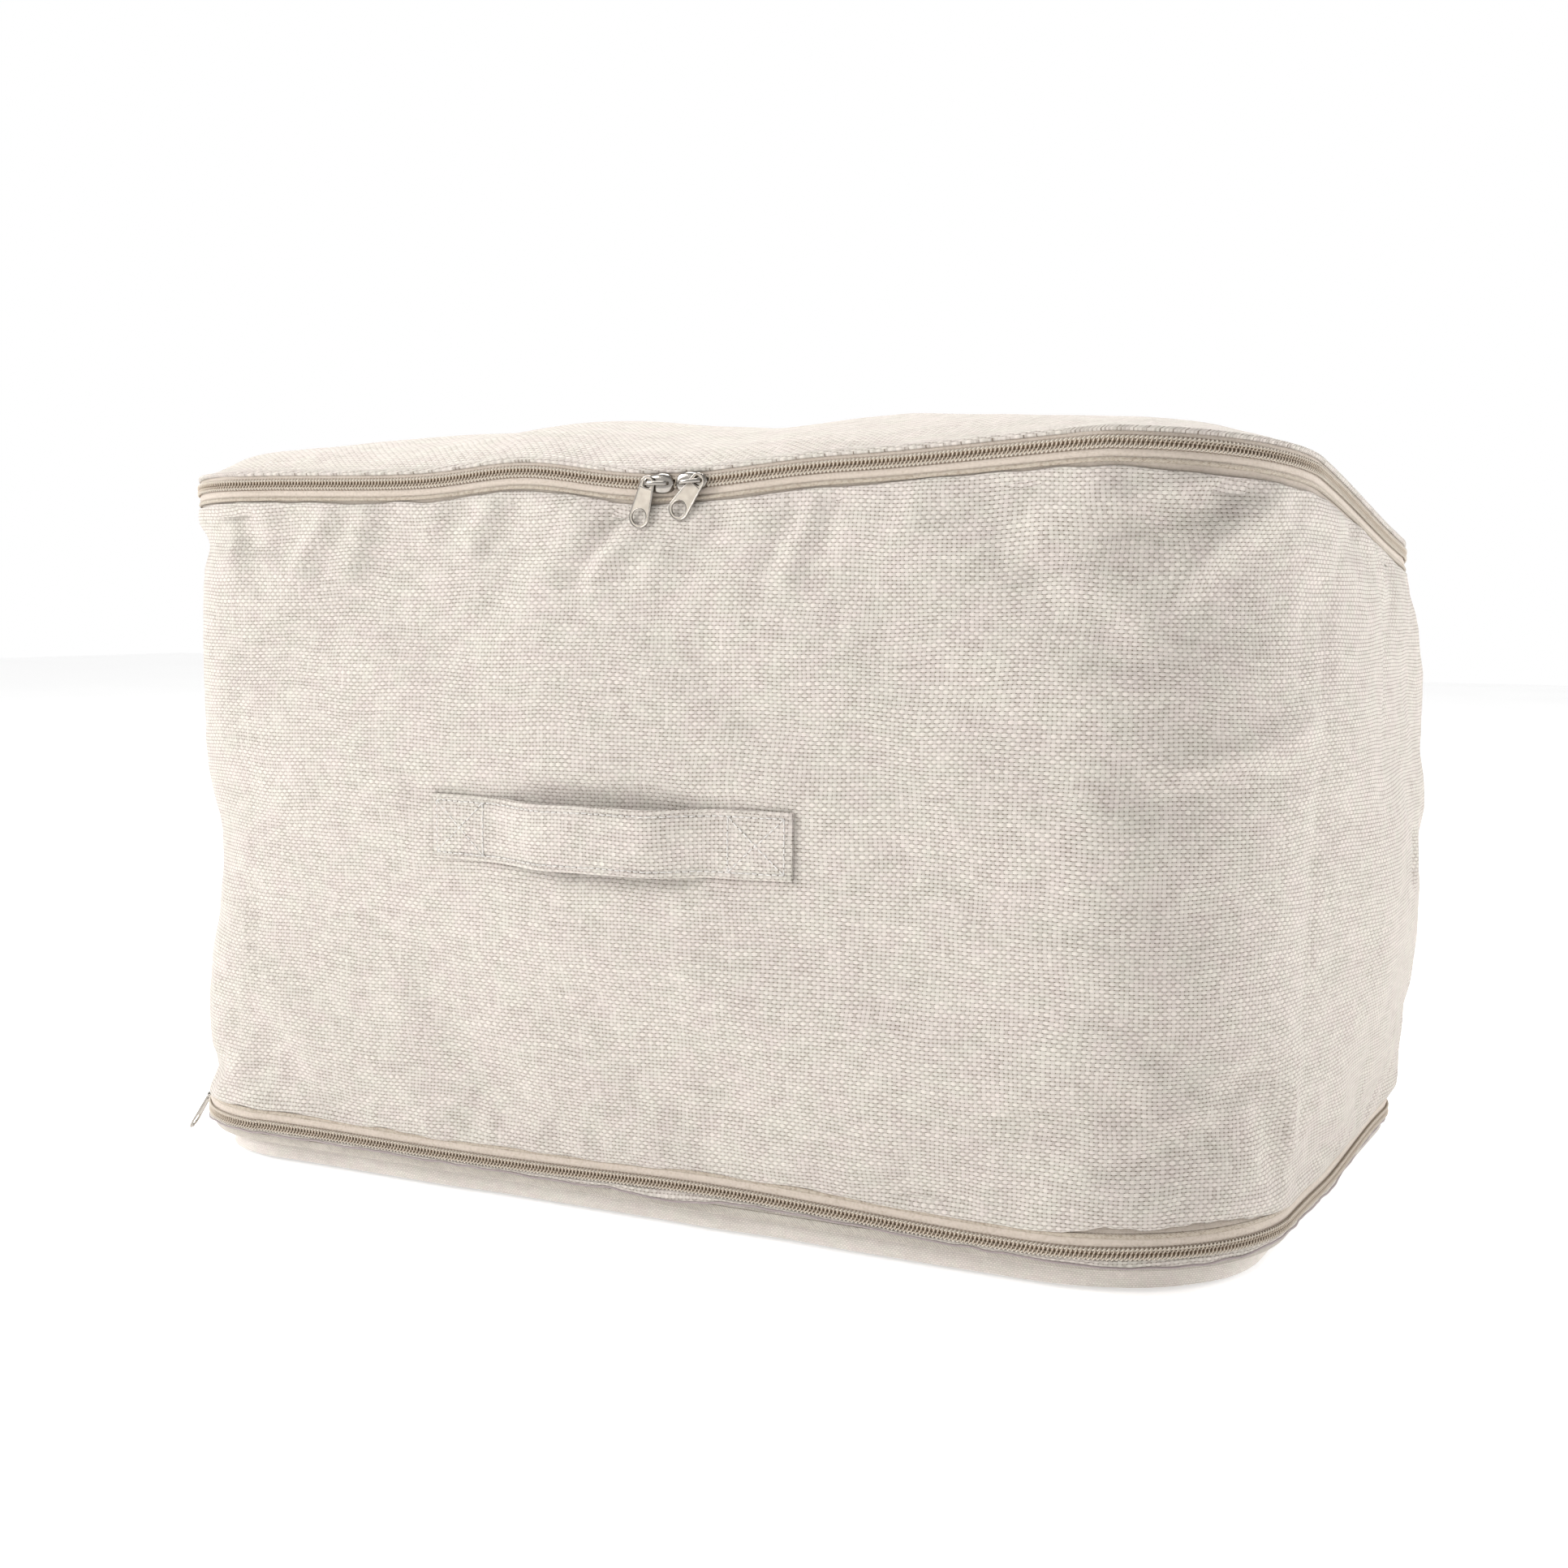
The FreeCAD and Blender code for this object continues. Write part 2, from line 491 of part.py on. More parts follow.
def main():
    os.makedirs("parts", exist_ok=True)
    gap = COIL_GAP
    base_tape = (BASE_CHAIN_Z - BASE_TAPE_DROP, BASE_CHAIN_Z - gap)
    base_bind = (BASE_CHAIN_Z + BASE_BINDING_SPAN[0], BASE_CHAIN_Z + BASE_BINDING_SPAN[1])
    save("base_panel", base_panel())
    save("bottom_zip_tape_base", hoop(TAPE_OUT, TAPE_IN, *base_tape))
    save("bottom_zip_coil_base", hoop(COIL_OUT, COIL_IN, BASE_CHAIN_Z - COIL_HALF, BASE_CHAIN_Z - gap))
    save("base_binding", hoop(BINDING_OUT, BINDING_IN, *base_bind))
    save("expansion_gusset", gusset())

    hole = disc(EYELET_BARREL_R + 0.1, 250, 350)
    start, end = 1.0 - ZIP_END, ZIP_END
    back = (ZIP_END + PANEL_GAP, 9.0 - ZIP_END - PANEL_GAP)
    save("wall_wrap", wall(start, end, wall_bottom_edge, wall_top_edge).cut(hole))
    save("back_wall", wall(*back, wall_bottom_edge, wall_top_edge))
    save("corner_seam_bindings", corner_seam_bindings())
    save("bottom_zip_coil_wall", hoop(COIL_OUT, COIL_IN, BASE_CHAIN_Z + gap, BASE_CHAIN_Z + COIL_HALF))
    save("bottom_zip_tape_wall", round_band(gap, TAPE_WIDTH, TAPE_OUT, TAPE_IN))
    save("wall_bottom_binding", round_band(*WALL_LOW_BINDING_SPAN, BINDING_OUT, BINDING_IN))

    save("top_zip_tape_wall", top_band(start, end, -TAPE_WIDTH, -gap, TAPE_OUT, TAPE_IN))
    save("top_zip_coil_wall", ring_rail(start, end, -COIL_HALF, -gap, COIL_OUT, COIL_IN))
    save("wall_top_binding", top_band(start, end, *WALL_TOP_BINDING_SPAN, BINDING_OUT, BINDING_IN))
    save("hinge_binding", cylinder(HINGE_PIPING_R, Vec(plan(5, TOP)[0], HINGE_Y, HINGE_Z),
                                   Vec(plan(4, TOP)[0], HINGE_Y, HINGE_Z)))
    save("front_handle", handle())
    save("eyelet_flange", eyelet_flange())
    save("eyelet_washer", eyelet_washer())

    save("lid_panel", lid_panel())
    save("top_zip_tape_lid", ring_rail(start, end, gap, LID_RIM - 0.3, TAPE_OUT, TAPE_IN))
    save("top_zip_coil_lid", ring_rail(start, end, gap, COIL_HALF, COIL_OUT, COIL_IN))
    save("lid_binding", ring_rail(start, end, *LID_BINDING_SPAN, BINDING_OUT, BINDING_IN))

    body = slider_body()
    left_slope, right_slope = -LEFT_RISE * 180 / pi, RIGHT_RISE * 180 / pi
    peg = body.fuse(peg_bail())
    save("left_slider", on_front(peg, LEFT_SLIDER_X, left_slope))
    save("right_slider", on_front(mirrored(peg), RIGHT_SLIDER_X, right_slope))
    save("bottom_slider", on_corner(mirrored(body.fuse(bar_bail()))))
    left_tab, right_tab = swinging_tab(LEFT_TAB_TILT), swinging_tab(RIGHT_TAB_TILT)
    left_tab.translate(Vec(-PIVOT_SHIFT, 0, 0))
    right_tab.translate(Vec(PIVOT_SHIFT, 0, 0))
    save("left_pull_tab", on_front(left_tab, LEFT_SLIDER_X, left_slope))
    save("right_pull_tab", on_front(right_tab, RIGHT_SLIDER_X, right_slope))
    save("bottom_pull_tab", on_corner(folding_tab(BOTTOM_TAB_TILT)))


main()
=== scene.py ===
from math import cos, pi, radians, sin

import bpy
import numpy as np
from mathutils import Matrix, Vector


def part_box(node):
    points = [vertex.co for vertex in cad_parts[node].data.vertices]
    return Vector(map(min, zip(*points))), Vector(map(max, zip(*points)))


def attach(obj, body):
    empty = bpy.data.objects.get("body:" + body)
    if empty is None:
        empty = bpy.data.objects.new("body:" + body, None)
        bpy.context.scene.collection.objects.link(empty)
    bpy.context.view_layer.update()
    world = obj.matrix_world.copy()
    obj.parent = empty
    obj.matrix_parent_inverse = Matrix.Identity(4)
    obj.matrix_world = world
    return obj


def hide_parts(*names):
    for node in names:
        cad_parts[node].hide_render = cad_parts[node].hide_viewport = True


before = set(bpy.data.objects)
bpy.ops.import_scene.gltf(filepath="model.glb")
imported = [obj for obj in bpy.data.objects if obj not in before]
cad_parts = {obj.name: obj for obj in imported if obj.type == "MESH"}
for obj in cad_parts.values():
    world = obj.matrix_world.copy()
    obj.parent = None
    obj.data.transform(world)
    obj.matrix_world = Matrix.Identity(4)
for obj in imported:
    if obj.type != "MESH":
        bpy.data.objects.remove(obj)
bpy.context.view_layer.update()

# The shape functions below work in millimetres and objects are made in metres.
MM = 0.001

# ---- sizes from the frame


def node_box(name):
    low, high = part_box(name)
    return np.array(low) / MM, np.array(high) / MM


def node_middle(name):
    low, high = node_box(name)
    return (low + high) / 2


COIL_OUT = 2.0  # how far the coils stand out from the zips' own lines
base_coil_low, base_coil_high = node_box("bottom_zip_coil_base")
BASE_LENGTH, BASE_DEPTH, _ = base_coil_high - base_coil_low - 2 * COIL_OUT
BASE_CHAIN_Z = base_coil_high[2] + 0.6
top_coil_low, top_coil_high = node_box("top_zip_coil_wall")
TOP_LENGTH = top_coil_high[0] - top_coil_low[0] - 2 * COIL_OUT
TOP_DEPTH = -2 * (top_coil_low[1] + COIL_OUT)
hinge_low, hinge_high = node_box("hinge_binding")
_, HINGE_Y, HINGE_Z = node_middle("hinge_binding")
BACK_EDGE_Z = HINGE_Z + 0.8
LEFT_SLIDER_X, RIGHT_SLIDER_X = node_middle("left_slider")[0], node_middle("right_slider")[0]
handle_low, handle_high = node_box("front_handle")
HANDLE_X, _, HANDLE_Z = node_middle("front_handle")
HANDLE_LENGTH, _, HANDLE_WIDTH = handle_high - handle_low
_, EYELET_Y, EYELET_Z = node_middle("eyelet_flange")
EYELET_FACE_X = node_box("eyelet_flange")[1][0] - 1.4
gusset_low, gusset_high = node_box("expansion_gusset")

# The bag's own form, as in the CAD model
RIGHT_RADIUS = 90.0
BASE_LEFT_RADIUS, TOP_LEFT_RADIUS = 72.0, 58.0
BASE = (BASE_LENGTH, BASE_DEPTH, BASE_LEFT_RADIUS)
TOP = (TOP_LENGTH, TOP_DEPTH, TOP_LEFT_RADIUS)
FRONT_LOW_Z, LEFT_RISE, RIGHT_RISE = 358.5, 0.0178, 0.0703
LEFT_LIMIT_Z, RIGHT_LIMIT_Z = 362.6, 373.0
SLIDERS_MIDDLE_X, DIP_HALF, DIP_RISE = 23.0, 14.0, 0.8
BOTTOM_SLIDER_TURN, BOTTOM_SLIDER_SET_IN = 22.0, 0.3
BELLY = {0: 14.0, 2: 17.0, 4: 12.0, 6: 12.0}
CORNER = {1: 0.0, 3: 12.0, 5: 4.0, 7: -5.6}
TAPE_SHOWN, LID_RIM = 9.5, 6.0
FRONT_HUMPS = ((-64, 44, 6.2), (90, 35, 1.2))
BASE_WAVES = ((45, 75, 2.5), (195, 55, -1.3), (435, 45, -2.2), (545, 45, 1.5), (-190, 50, 0.6))
HANDLE_PATCH = 36.0
ZIP_START, ZIP_END = -2.5, 3.5
BACK_START, BACK_END = 3.5, 5.5


# ---- noise and easing

def ease(t):
    t = np.clip(t, 0, 1)
    return t * t * (3 - 2 * t)


def noise(x, y, cell_x, cell_y, seed):
    """Smooth seeded noise from -1 to 1 with the given cell sizes."""
    table = np.random.default_rng(seed).uniform(-1, 1, (97, 89))
    gx, gy = np.asarray(x, float) / cell_x + 40, np.asarray(y, float) / cell_y + 40
    ix, iy = np.floor(gx).astype(int), np.floor(gy).astype(int)
    fx, fy = gx - ix, gy - iy
    fx, fy = fx ** 3 * (fx * (fx * 6 - 15) + 10), fy ** 3 * (fy * (fy * 6 - 15) + 10)

    def at(i, j):
        return table[i % 97, j % 89]
    low = at(ix, iy) * (1 - fx) + at(ix + 1, iy) * fx
    high = at(ix, iy + 1) * (1 - fx) + at(ix + 1, iy + 1) * fx
    return 1.4 * (low * (1 - fy) + high * fy)


def bumps(s, table):
    """Sum of smooth bumps along s, each given as its place, half width and height."""
    return sum(height * np.exp(-((s - at) / wide) ** 2) for at, wide, height in table)


# ---- perimeter and wall surface
# u counts the eight stretches of the rounded outline: 0-1 front, 1-2 front right corner, 2-3 right,
# 3-4 back right corner, 4-5 back, 5-6 back left corner, 6-7 left, 7-8 front left corner.

def stretch_of(u):
    """The stretch that u is on, and how far along it, from 0 to 1."""
    u = np.mod(np.asarray(u, float), 8.0)
    stretch = np.minimum(u.astype(int), 7)
    return stretch, u - stretch


def plan(u, form):
    """Points and outward normals on a rounded outline."""
    length, depth, left_radius = form
    stretch, f = stretch_of(u)
    turn = f * pi / 2
    left, right = left_radius - length / 2, length / 2 - RIGHT_RADIUS
    back_l, back_r = depth / 2 - left_radius, depth / 2 - RIGHT_RADIUS
    c, s, one, zero = np.cos(turn), np.sin(turn), np.ones_like(f), np.zeros_like(f)
    normals = [(zero, -one), (s, -c), (one, zero), (c, s), (zero, one), (-s, c), (-one, zero), (-c, -s)]
    nx = np.choose(stretch, [n[0] for n in normals])
    ny = np.choose(stretch, [n[1] for n in normals])
    x = np.choose(stretch, [left + (right - left) * f, right + RIGHT_RADIUS * s, length / 2 * one,
                            right + RIGHT_RADIUS * c, right + (left - right) * f, left - left_radius * s,
                            -length / 2 * one, left - left_radius * c])
    y = np.choose(stretch, [-depth / 2 * one, -back_r - RIGHT_RADIUS * c, -back_r + 2 * back_r * f,
                            back_r + RIGHT_RADIUS * s, depth / 2 * one, back_l + left_radius * c,
                            back_l - 2 * back_l * f, -back_l - left_radius * s])
    return x, y, nx, ny


def run_table(form):
    """Distance round the outline at whole values of u from -8 to 8, zero at the front's middle."""
    length, depth, left_radius = form
    front = length - left_radius - RIGHT_RADIUS
    arc_r, arc_l = RIGHT_RADIUS * pi / 2, left_radius * pi / 2
    runs = [front, arc_r, depth - 2 * RIGHT_RADIUS, arc_r, front, arc_l, depth - 2 * left_radius, arc_l]
    marks = np.concatenate([[0], np.cumsum(runs + runs)])
    return marks - marks[8] + left_radius - length / 2


BASE_MARKS, TOP_MARKS = run_table(BASE), run_table(TOP)


def distance(u, marks):
    return np.interp(u, np.arange(-8, 9), marks)


def turn_of(s, marks):
    return np.interp(s, marks, np.arange(-8, 9))


def front_chain_z(x):
    away = x - SLIDERS_MIDDLE_X
    left = np.minimum(FRONT_LOW_Z - LEFT_RISE * (away + DIP_HALF), LEFT_LIMIT_Z)
    right = np.minimum(FRONT_LOW_Z + DIP_RISE + RIGHT_RISE * (away - DIP_HALF), RIGHT_LIMIT_Z)
    middle = FRONT_LOW_Z + DIP_RISE / 2 * (away / DIP_HALF + 1)
    chain = np.where(away < -DIP_HALF, left, np.where(away > DIP_HALF, right, middle))
    return chain + bumps(x, FRONT_HUMPS)


def chain_z(x, y):
    v = np.clip(y / TOP_DEPTH + 0.5, 0, 1)
    return BACK_EDGE_Z + (front_chain_z(x) - BACK_EDGE_Z) * (1 - v + 0.04 * np.sin(2 * pi * v))


def base_chain_z(u):
    """The bottom zip lies a little unevenly."""
    return BASE_CHAIN_Z + bumps(distance(u, BASE_MARKS), BASE_WAVES)


def belly(u, t):
    """Outward swell of the wall at height fraction t; corners with a negative value are drawn in."""
    stretch, f = stretch_of(u)
    corner_of = np.array([CORNER.get(k, 0.0) for k in range(8)])
    belly_of = np.array([BELLY.get(k, 0.0) for k in range(8)])
    before, after = corner_of[(stretch - 1) % 8], corner_of[(stretch + 1) % 8]
    is_corner = stretch % 2 == 1
    corner = np.where(is_corner, corner_of[stretch], before * (1 - f) + after * f)
    share = np.where(is_corner, 0.0, np.abs(np.sin(pi * f)) ** 0.8)
    out = belly_of[stretch] * share + np.maximum(corner, 0) * (1 - share)
    drawn = np.minimum(corner, 0) * (1 - share)
    t = np.clip(t, 0, 1)
    power = np.where((stretch == 0) | (stretch == 7), 1.6, 0.9)
    swell = np.maximum(np.sin(pi * t), 0) ** power * ease(np.minimum(t, 1 - t) / 0.06)
    return out * swell + drawn * ease((t - 0.02) / 0.06) * ease((1 - t - 0.02) / 0.08)


def top_z(u):
    x, y, _, _ = plan(u, TOP)
    return chain_z(x, y)


def full_turn(count):
    """Equal steps of angle round a circle."""
    return 2 * pi * np.arange(count) / count


def unit(vectors):
    return vectors / np.linalg.norm(vectors, axis=1)[:, None]


def spread(*values):
    return np.broadcast_arrays(*(np.asarray(value, float) for value in values))


def wall_point(u, z, offset):
    """Points on the wall surface at height z, moved outwards by offset."""
    u, z, offset = spread(u, z, offset)
    xb, yb, nx, ny = plan(u, BASE)
    xt, yt, _, _ = plan(u, TOP)
    t = (z - BASE_CHAIN_Z) / (chain_z(xt, yt) - BASE_CHAIN_Z)
    out = belly(u, t) + offset
    return np.stack([xb + (xt - xb) * t + nx * out, yb + (yt - yb) * t + ny * out, z], -1)


def ring_point(u, z, offset, top=True):
    """Points on the zip's own line, at height z."""
    u, z, offset = spread(u, z, offset)
    x, y, nx, ny = plan(u, TOP if top else BASE)
    return np.stack([x + nx * offset, y + ny * offset, z], -1)


def straight_turn(first, axis, value, z):
    """u on the straight stretch from first, where the wall at height z has this x (axis 0) or y (1)."""
    start, end = (wall_point(first + share, z, 0.0)[..., axis] for share in (0.0, 1.0))
    return first + (value - start) / (end - start)


EYELET_S = float(distance(straight_turn(2, 1, EYELET_Y, EYELET_Z), BASE_MARKS))

# ---- folds in the cloth
# Each is a ridge or valley on the unrolled wall: from (s, z) to (s, z), half width, height.

WALL_FOLDS = (
    (-170, 346, -190, 322, 5, 1.3), (-158, 345, -176, 318, 5, -1.2), (-148, 347, -157, 316, 6, 1.3),
    (-232, 352, -218, 312, 9, -2.0), (-205, 350, -215, 325, 7, 1.0),
    (-74, 349, -84, 328, 6, 1.1), (-62, 349, -72, 330, 6, -0.9), (-106, 350, -112, 334, 6, 0.8),
    (13, 342, -14, 318, 7, 3.2), (1, 346, -20, 316, 6, -3.4), (34, 342, 22, 326, 8, 1.6),
    (98, 346, 88, 318, 7, 1.0), (89, 346, 79, 322, 7, -1.0), (150, 352, 141, 334, 9, 0.9),
    (286, 350, 246, 336, 11, -2.2), (246, 338, 205, 322, 11, -2.2), (302, 346, 268, 320, 10, 2.6),
    (268, 320, 250, 300, 12, 1.6), (274, 358, 240, 346, 6, 1.6), (225, 352, 205, 336, 9, 1.4),
    (422, 348, 470, 322, 5, 1.9), (432, 350, 482, 326, 5, -2.1), (415, 340, 440, 318, 6, -1.2),
    (200, 83, 224, 91, 6, 1.5), (204, 78, 246, 82, 7, -1.8), (224, 90, 248, 92, 7, -1.5),
    (256, 73, 284, 83, 8, 2.0), (262, 71, 306, 93, 9, -1.4), (337, 82, 342, 60, 6, 1.8),
    (318, 78, 328, 50, 8, -1.0), (262, 266, 244, 268, 9, 1.4), (246, 256, 262, 262, 9, -1.2),
    (262, 232, 330, 246, 8, 1.3), (258, 222, 340, 232, 9, -1.2), (380, 190, 410, 170, 10, 1.0),
    (214, 150, 236, 138, 10, 1.3), (222, 140, 244, 128, 10, -1.3),
    (-262, 40, -236, 62, 8, 1.4), (-120, 44, -150, 66, 9, 0.8), (80, 44, 40, 70, 10, 0.9),
    (700, 280, 730, 240, 9, 1.5), (-420, 330, -400, 290, 8, 1.4), (-470, 60, -450, 90, 9, 1.4),
    (930, 300, 960, 270, 8, 1.6), (1060, 60, 1040, 100, 9, 1.4), (1160, 310, 1150, 270, 8, -1.6),
)
FOLD_STRENGTH = 1.45
TABS_S, TABS_Z = 16, 343


def ridge(s, z, s0, z0, s1, z1, half, height):
    along_s, along_z = s1 - s0, z1 - z0
    length = (along_s ** 2 + along_z ** 2) ** 0.5
    along_s, along_z = along_s / length, along_z / length
    a = (s - s0) * along_s + (z - z0) * along_z
    b = (s - s0) * along_z - (z - z0) * along_s
    past = np.maximum(np.abs(a - length / 2) - length / 2, 0) / (1.3 * half)
    return height * np.exp(-(b / half) ** 2 - past ** 2)


def clear_of_fittings(s, z):
    """0 on the handle and the eyelet, 1 away from them."""
    past_end = np.abs(s - HANDLE_X) - HANDLE_LENGTH / 2 - 5
    past_edge = np.abs(z - HANDLE_Z) - HANDLE_WIDTH / 2
    past_eyelet = np.hypot(s - EYELET_S, z - EYELET_Z) - 10
    return ease(np.maximum(past_end, past_edge) / 14) * ease(past_eyelet / 12)


def near_tabs(s, z, half_s, half_z):
    return np.exp(-((s - TABS_S) / half_s) ** 4 - ((z - TABS_Z) / half_z) ** 4)


def wall_relief(u, z):
    """How far the cloth stands off the smooth wall: gathers at the zips, folds and soft dents."""
    s = distance(u, BASE_MARKS)
    top, bottom = top_z(u) - TAPE_SHOWN - z, z - BASE_CHAIN_Z - TAPE_SHOWN
    lean = s + 0.45 * np.minimum(top, 60)
    gather = 0.55 * noise(lean, top, 11, 60, 3) + 0.9 * noise(lean, top, 27, 90, 4)
    relief = gather * np.exp(-np.maximum(top, 0) / 26) * ease(top / 6)
    lean = s - 0.3 * np.minimum(bottom, 60)
    gather = 0.35 * noise(lean, bottom, 13, 60, 5) + 0.8 * noise(lean, bottom, 38, 90, 6)
    relief = relief + gather * np.exp(-np.maximum(bottom, 0) / 28) * ease(bottom / 8)
    inside = ease(top / 30) * ease(bottom / 30)
    relief = relief + inside * (1.9 * noise(s, z, 120, 80, 7) + 0.8 * noise(s + z * 0.5, z, 48, 34, 8)
                                + 0.22 * noise(s - z * 0.4, z, 17, 14, 9))
    near = ease(top / 5) * ease(bottom / 5)
    for fold in WALL_FOLDS:
        relief = relief + near * ridge(s, z, *fold)
    relief = relief * FOLD_STRENGTH
    raised = relief * (1 - 0.9 * near_tabs(s, z, 24, 15))
    return np.where(relief > 0, raised, relief) * clear_of_fittings(s, z)


# ---- meshes

def add_object(name, data):
    made = bpy.data.objects.new(name, data)
    bpy.context.scene.collection.objects.link(made)
    return made


def mesh_object(name, points, faces, uv=None):
    """An object from points in millimetres, faces as index rows and a uv per point in millimetres."""
    mesh = bpy.data.meshes.new(name)
    points = np.asarray(points, float).reshape(-1, 3) * MM
    faces = np.asarray(faces, int)
    mesh.vertices.add(len(points))
    mesh.vertices.foreach_set("co", points.ravel())
    mesh.loops.add(faces.size)
    mesh.loops.foreach_set("vertex_index", faces.ravel())
    mesh.polygons.add(len(faces))
    mesh.polygons.foreach_set("loop_start", np.arange(0, faces.size, faces.shape[1]))
    mesh.polygons.foreach_set("loop_total", np.full(len(faces), faces.shape[1]))
    mesh.update(calc_edges=True)
    mesh.validate()
    if uv is not None:
        layer = mesh.uv_layers.new(name="Weave")
        layer.data.foreach_set("uv", (np.asarray(uv, float).reshape(-1, 2)[faces.ravel()] * MM).ravel())
    mesh.polygons.foreach_set("use_smooth", np.full(len(mesh.polygons), True))
    return add_object(name, mesh)


def grid_faces(rows, columns, close_rows=False, close_columns=False):
    """Quads between neighbouring rows and columns of a grid of points."""
    r = np.arange(rows if close_rows else rows - 1)[:, None]
    c = np.arange(columns if close_columns else columns - 1)[None, :]
    r2, c2 = (r + 1) % rows, (c + 1) % columns
    corners = (r * columns + c, r * columns + c2, r2 * columns + c2, r2 * columns + c)
    quads = np.stack(np.broadcast_arrays(*corners), -1)
    return quads.reshape(-1, 4)


def uv_grid(along_run, across_run):
    """A uv for each point of a grid, from one value for each column or row."""
    return np.stack(np.broadcast_arrays(along_run, across_run), -1)


def grid_object(name, points, uv=None, close_rows=False, close_columns=False):
    rows, columns = points.shape[:2]
    return mesh_object(name, points, grid_faces(rows, columns, close_rows, close_columns), uv)


def finish_piece(piece, body, slot, material, *nodes):
    piece.data.materials.append(material)
    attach(piece, body)
    if nodes:
        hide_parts(*nodes)
    return piece


# ---- material nodes

class Signal:
    """A node's output in a sum: each sign of arithmetic adds one Math node."""

    def __init__(self, shader, socket):
        self.shader, self.socket = shader, socket

    def __add__(self, other):
        return self.shader.math("ADD", self, other)

    def __radd__(self, other):
        return self.shader.math("ADD", other, self)

    def __sub__(self, other):
        return self.shader.math("SUBTRACT", self, other)

    def __rsub__(self, other):
        return self.shader.math("SUBTRACT", other, self)

    def __mul__(self, other):
        return self.shader.math("MULTIPLY", self, other)


class Shader:
    """A material's node tree, with short calls for the nodes used here."""

    def __init__(self, name, roughness=0.9, metallic=0.0, sheen=0.0, specular=0.5):
        self.material = bpy.data.materials.new(name)
        self.material.use_nodes = True
        self.tree = self.material.node_tree
        self.surface = self.tree.nodes["Principled BSDF"]
        self.feed(self.surface, {"Roughness": roughness, "Metallic": metallic, "Sheen Weight": sheen,
                                 "Specular IOR Level": specular})

    def put(self, value, socket):
        if isinstance(value, Signal):
            self.tree.links.new(value.socket, socket)
        else:
            socket.default_value = value

    def feed(self, node, inputs):
        for key, value in inputs.items():
            self.put(value, node.inputs[key])

    def node(self, kind, inputs, output=0, **settings):
        """A new node with its inputs set or linked, by name or number, and one of its outputs."""
        made = self.tree.nodes.new("ShaderNode" + kind)
        for key, value in settings.items():
            setattr(made, key, value)
        self.feed(made, inputs)
        return Signal(self, made.outputs[output])

    def math(self, operation, *values, clamp=False):
        return self.node("Math", dict(enumerate(values)), operation=operation, use_clamp=clamp)

    def split(self, vector):
        first = self.node("SeparateXYZ", {0: vector})
        return [Signal(self, socket) for socket in first.socket.node.outputs]

    def uv(self, scale_x, scale_y):
        """The weave coordinates, in threads or repeats."""
        x, y, _ = self.split(self.node("UVMap", {}, uv_map="Weave"))
        return x * scale_x, y * scale_y

    def place(self):
        return self.node("TexCoord", {}, "Object")

    def vector(self, x, y, z=0.0):
        return self.node("CombineXYZ", {0: x, 1: y, 2: z})

    def noise(self, vector, scale=1.0, detail=2.0, roughness=0.5):
        inputs = {"Vector": vector, "Scale": scale, "Detail": detail, "Roughness": roughness}
        return self.node("TexNoise", inputs)

    def object_noise(self, scale, detail=2.0):
        return self.noise(self.place(), scale, detail)

    def ramp(self, factor, *stops):
        made = self.node("ValToRGB", {0: factor})
        elements = made.socket.node.color_ramp.elements
        while len(elements) < len(stops):
            elements.new(0.5)
        for element, (place, colour) in zip(elements, stops):
            element.position = place
            element.color = (*colour, 1.0)
        return made

    def mix(self, factor, a, b, blend="MIX"):
        return self.node("Mix", {0: factor, 6: a, 7: b}, 2, data_type="RGBA", blend_type=blend)

    def colour(self, value):
        self.put(value, self.surface.inputs["Base Color"])

    def bump(self, height, distance, strength=1.0):
        inputs = {"Strength": strength, "Distance": distance, "Height": height}
        self.put(self.node("Bump", inputs), self.surface.inputs["Normal"])


def scaled(colour, factor):
    return tuple(min(1.0, channel * factor) for channel in colour)


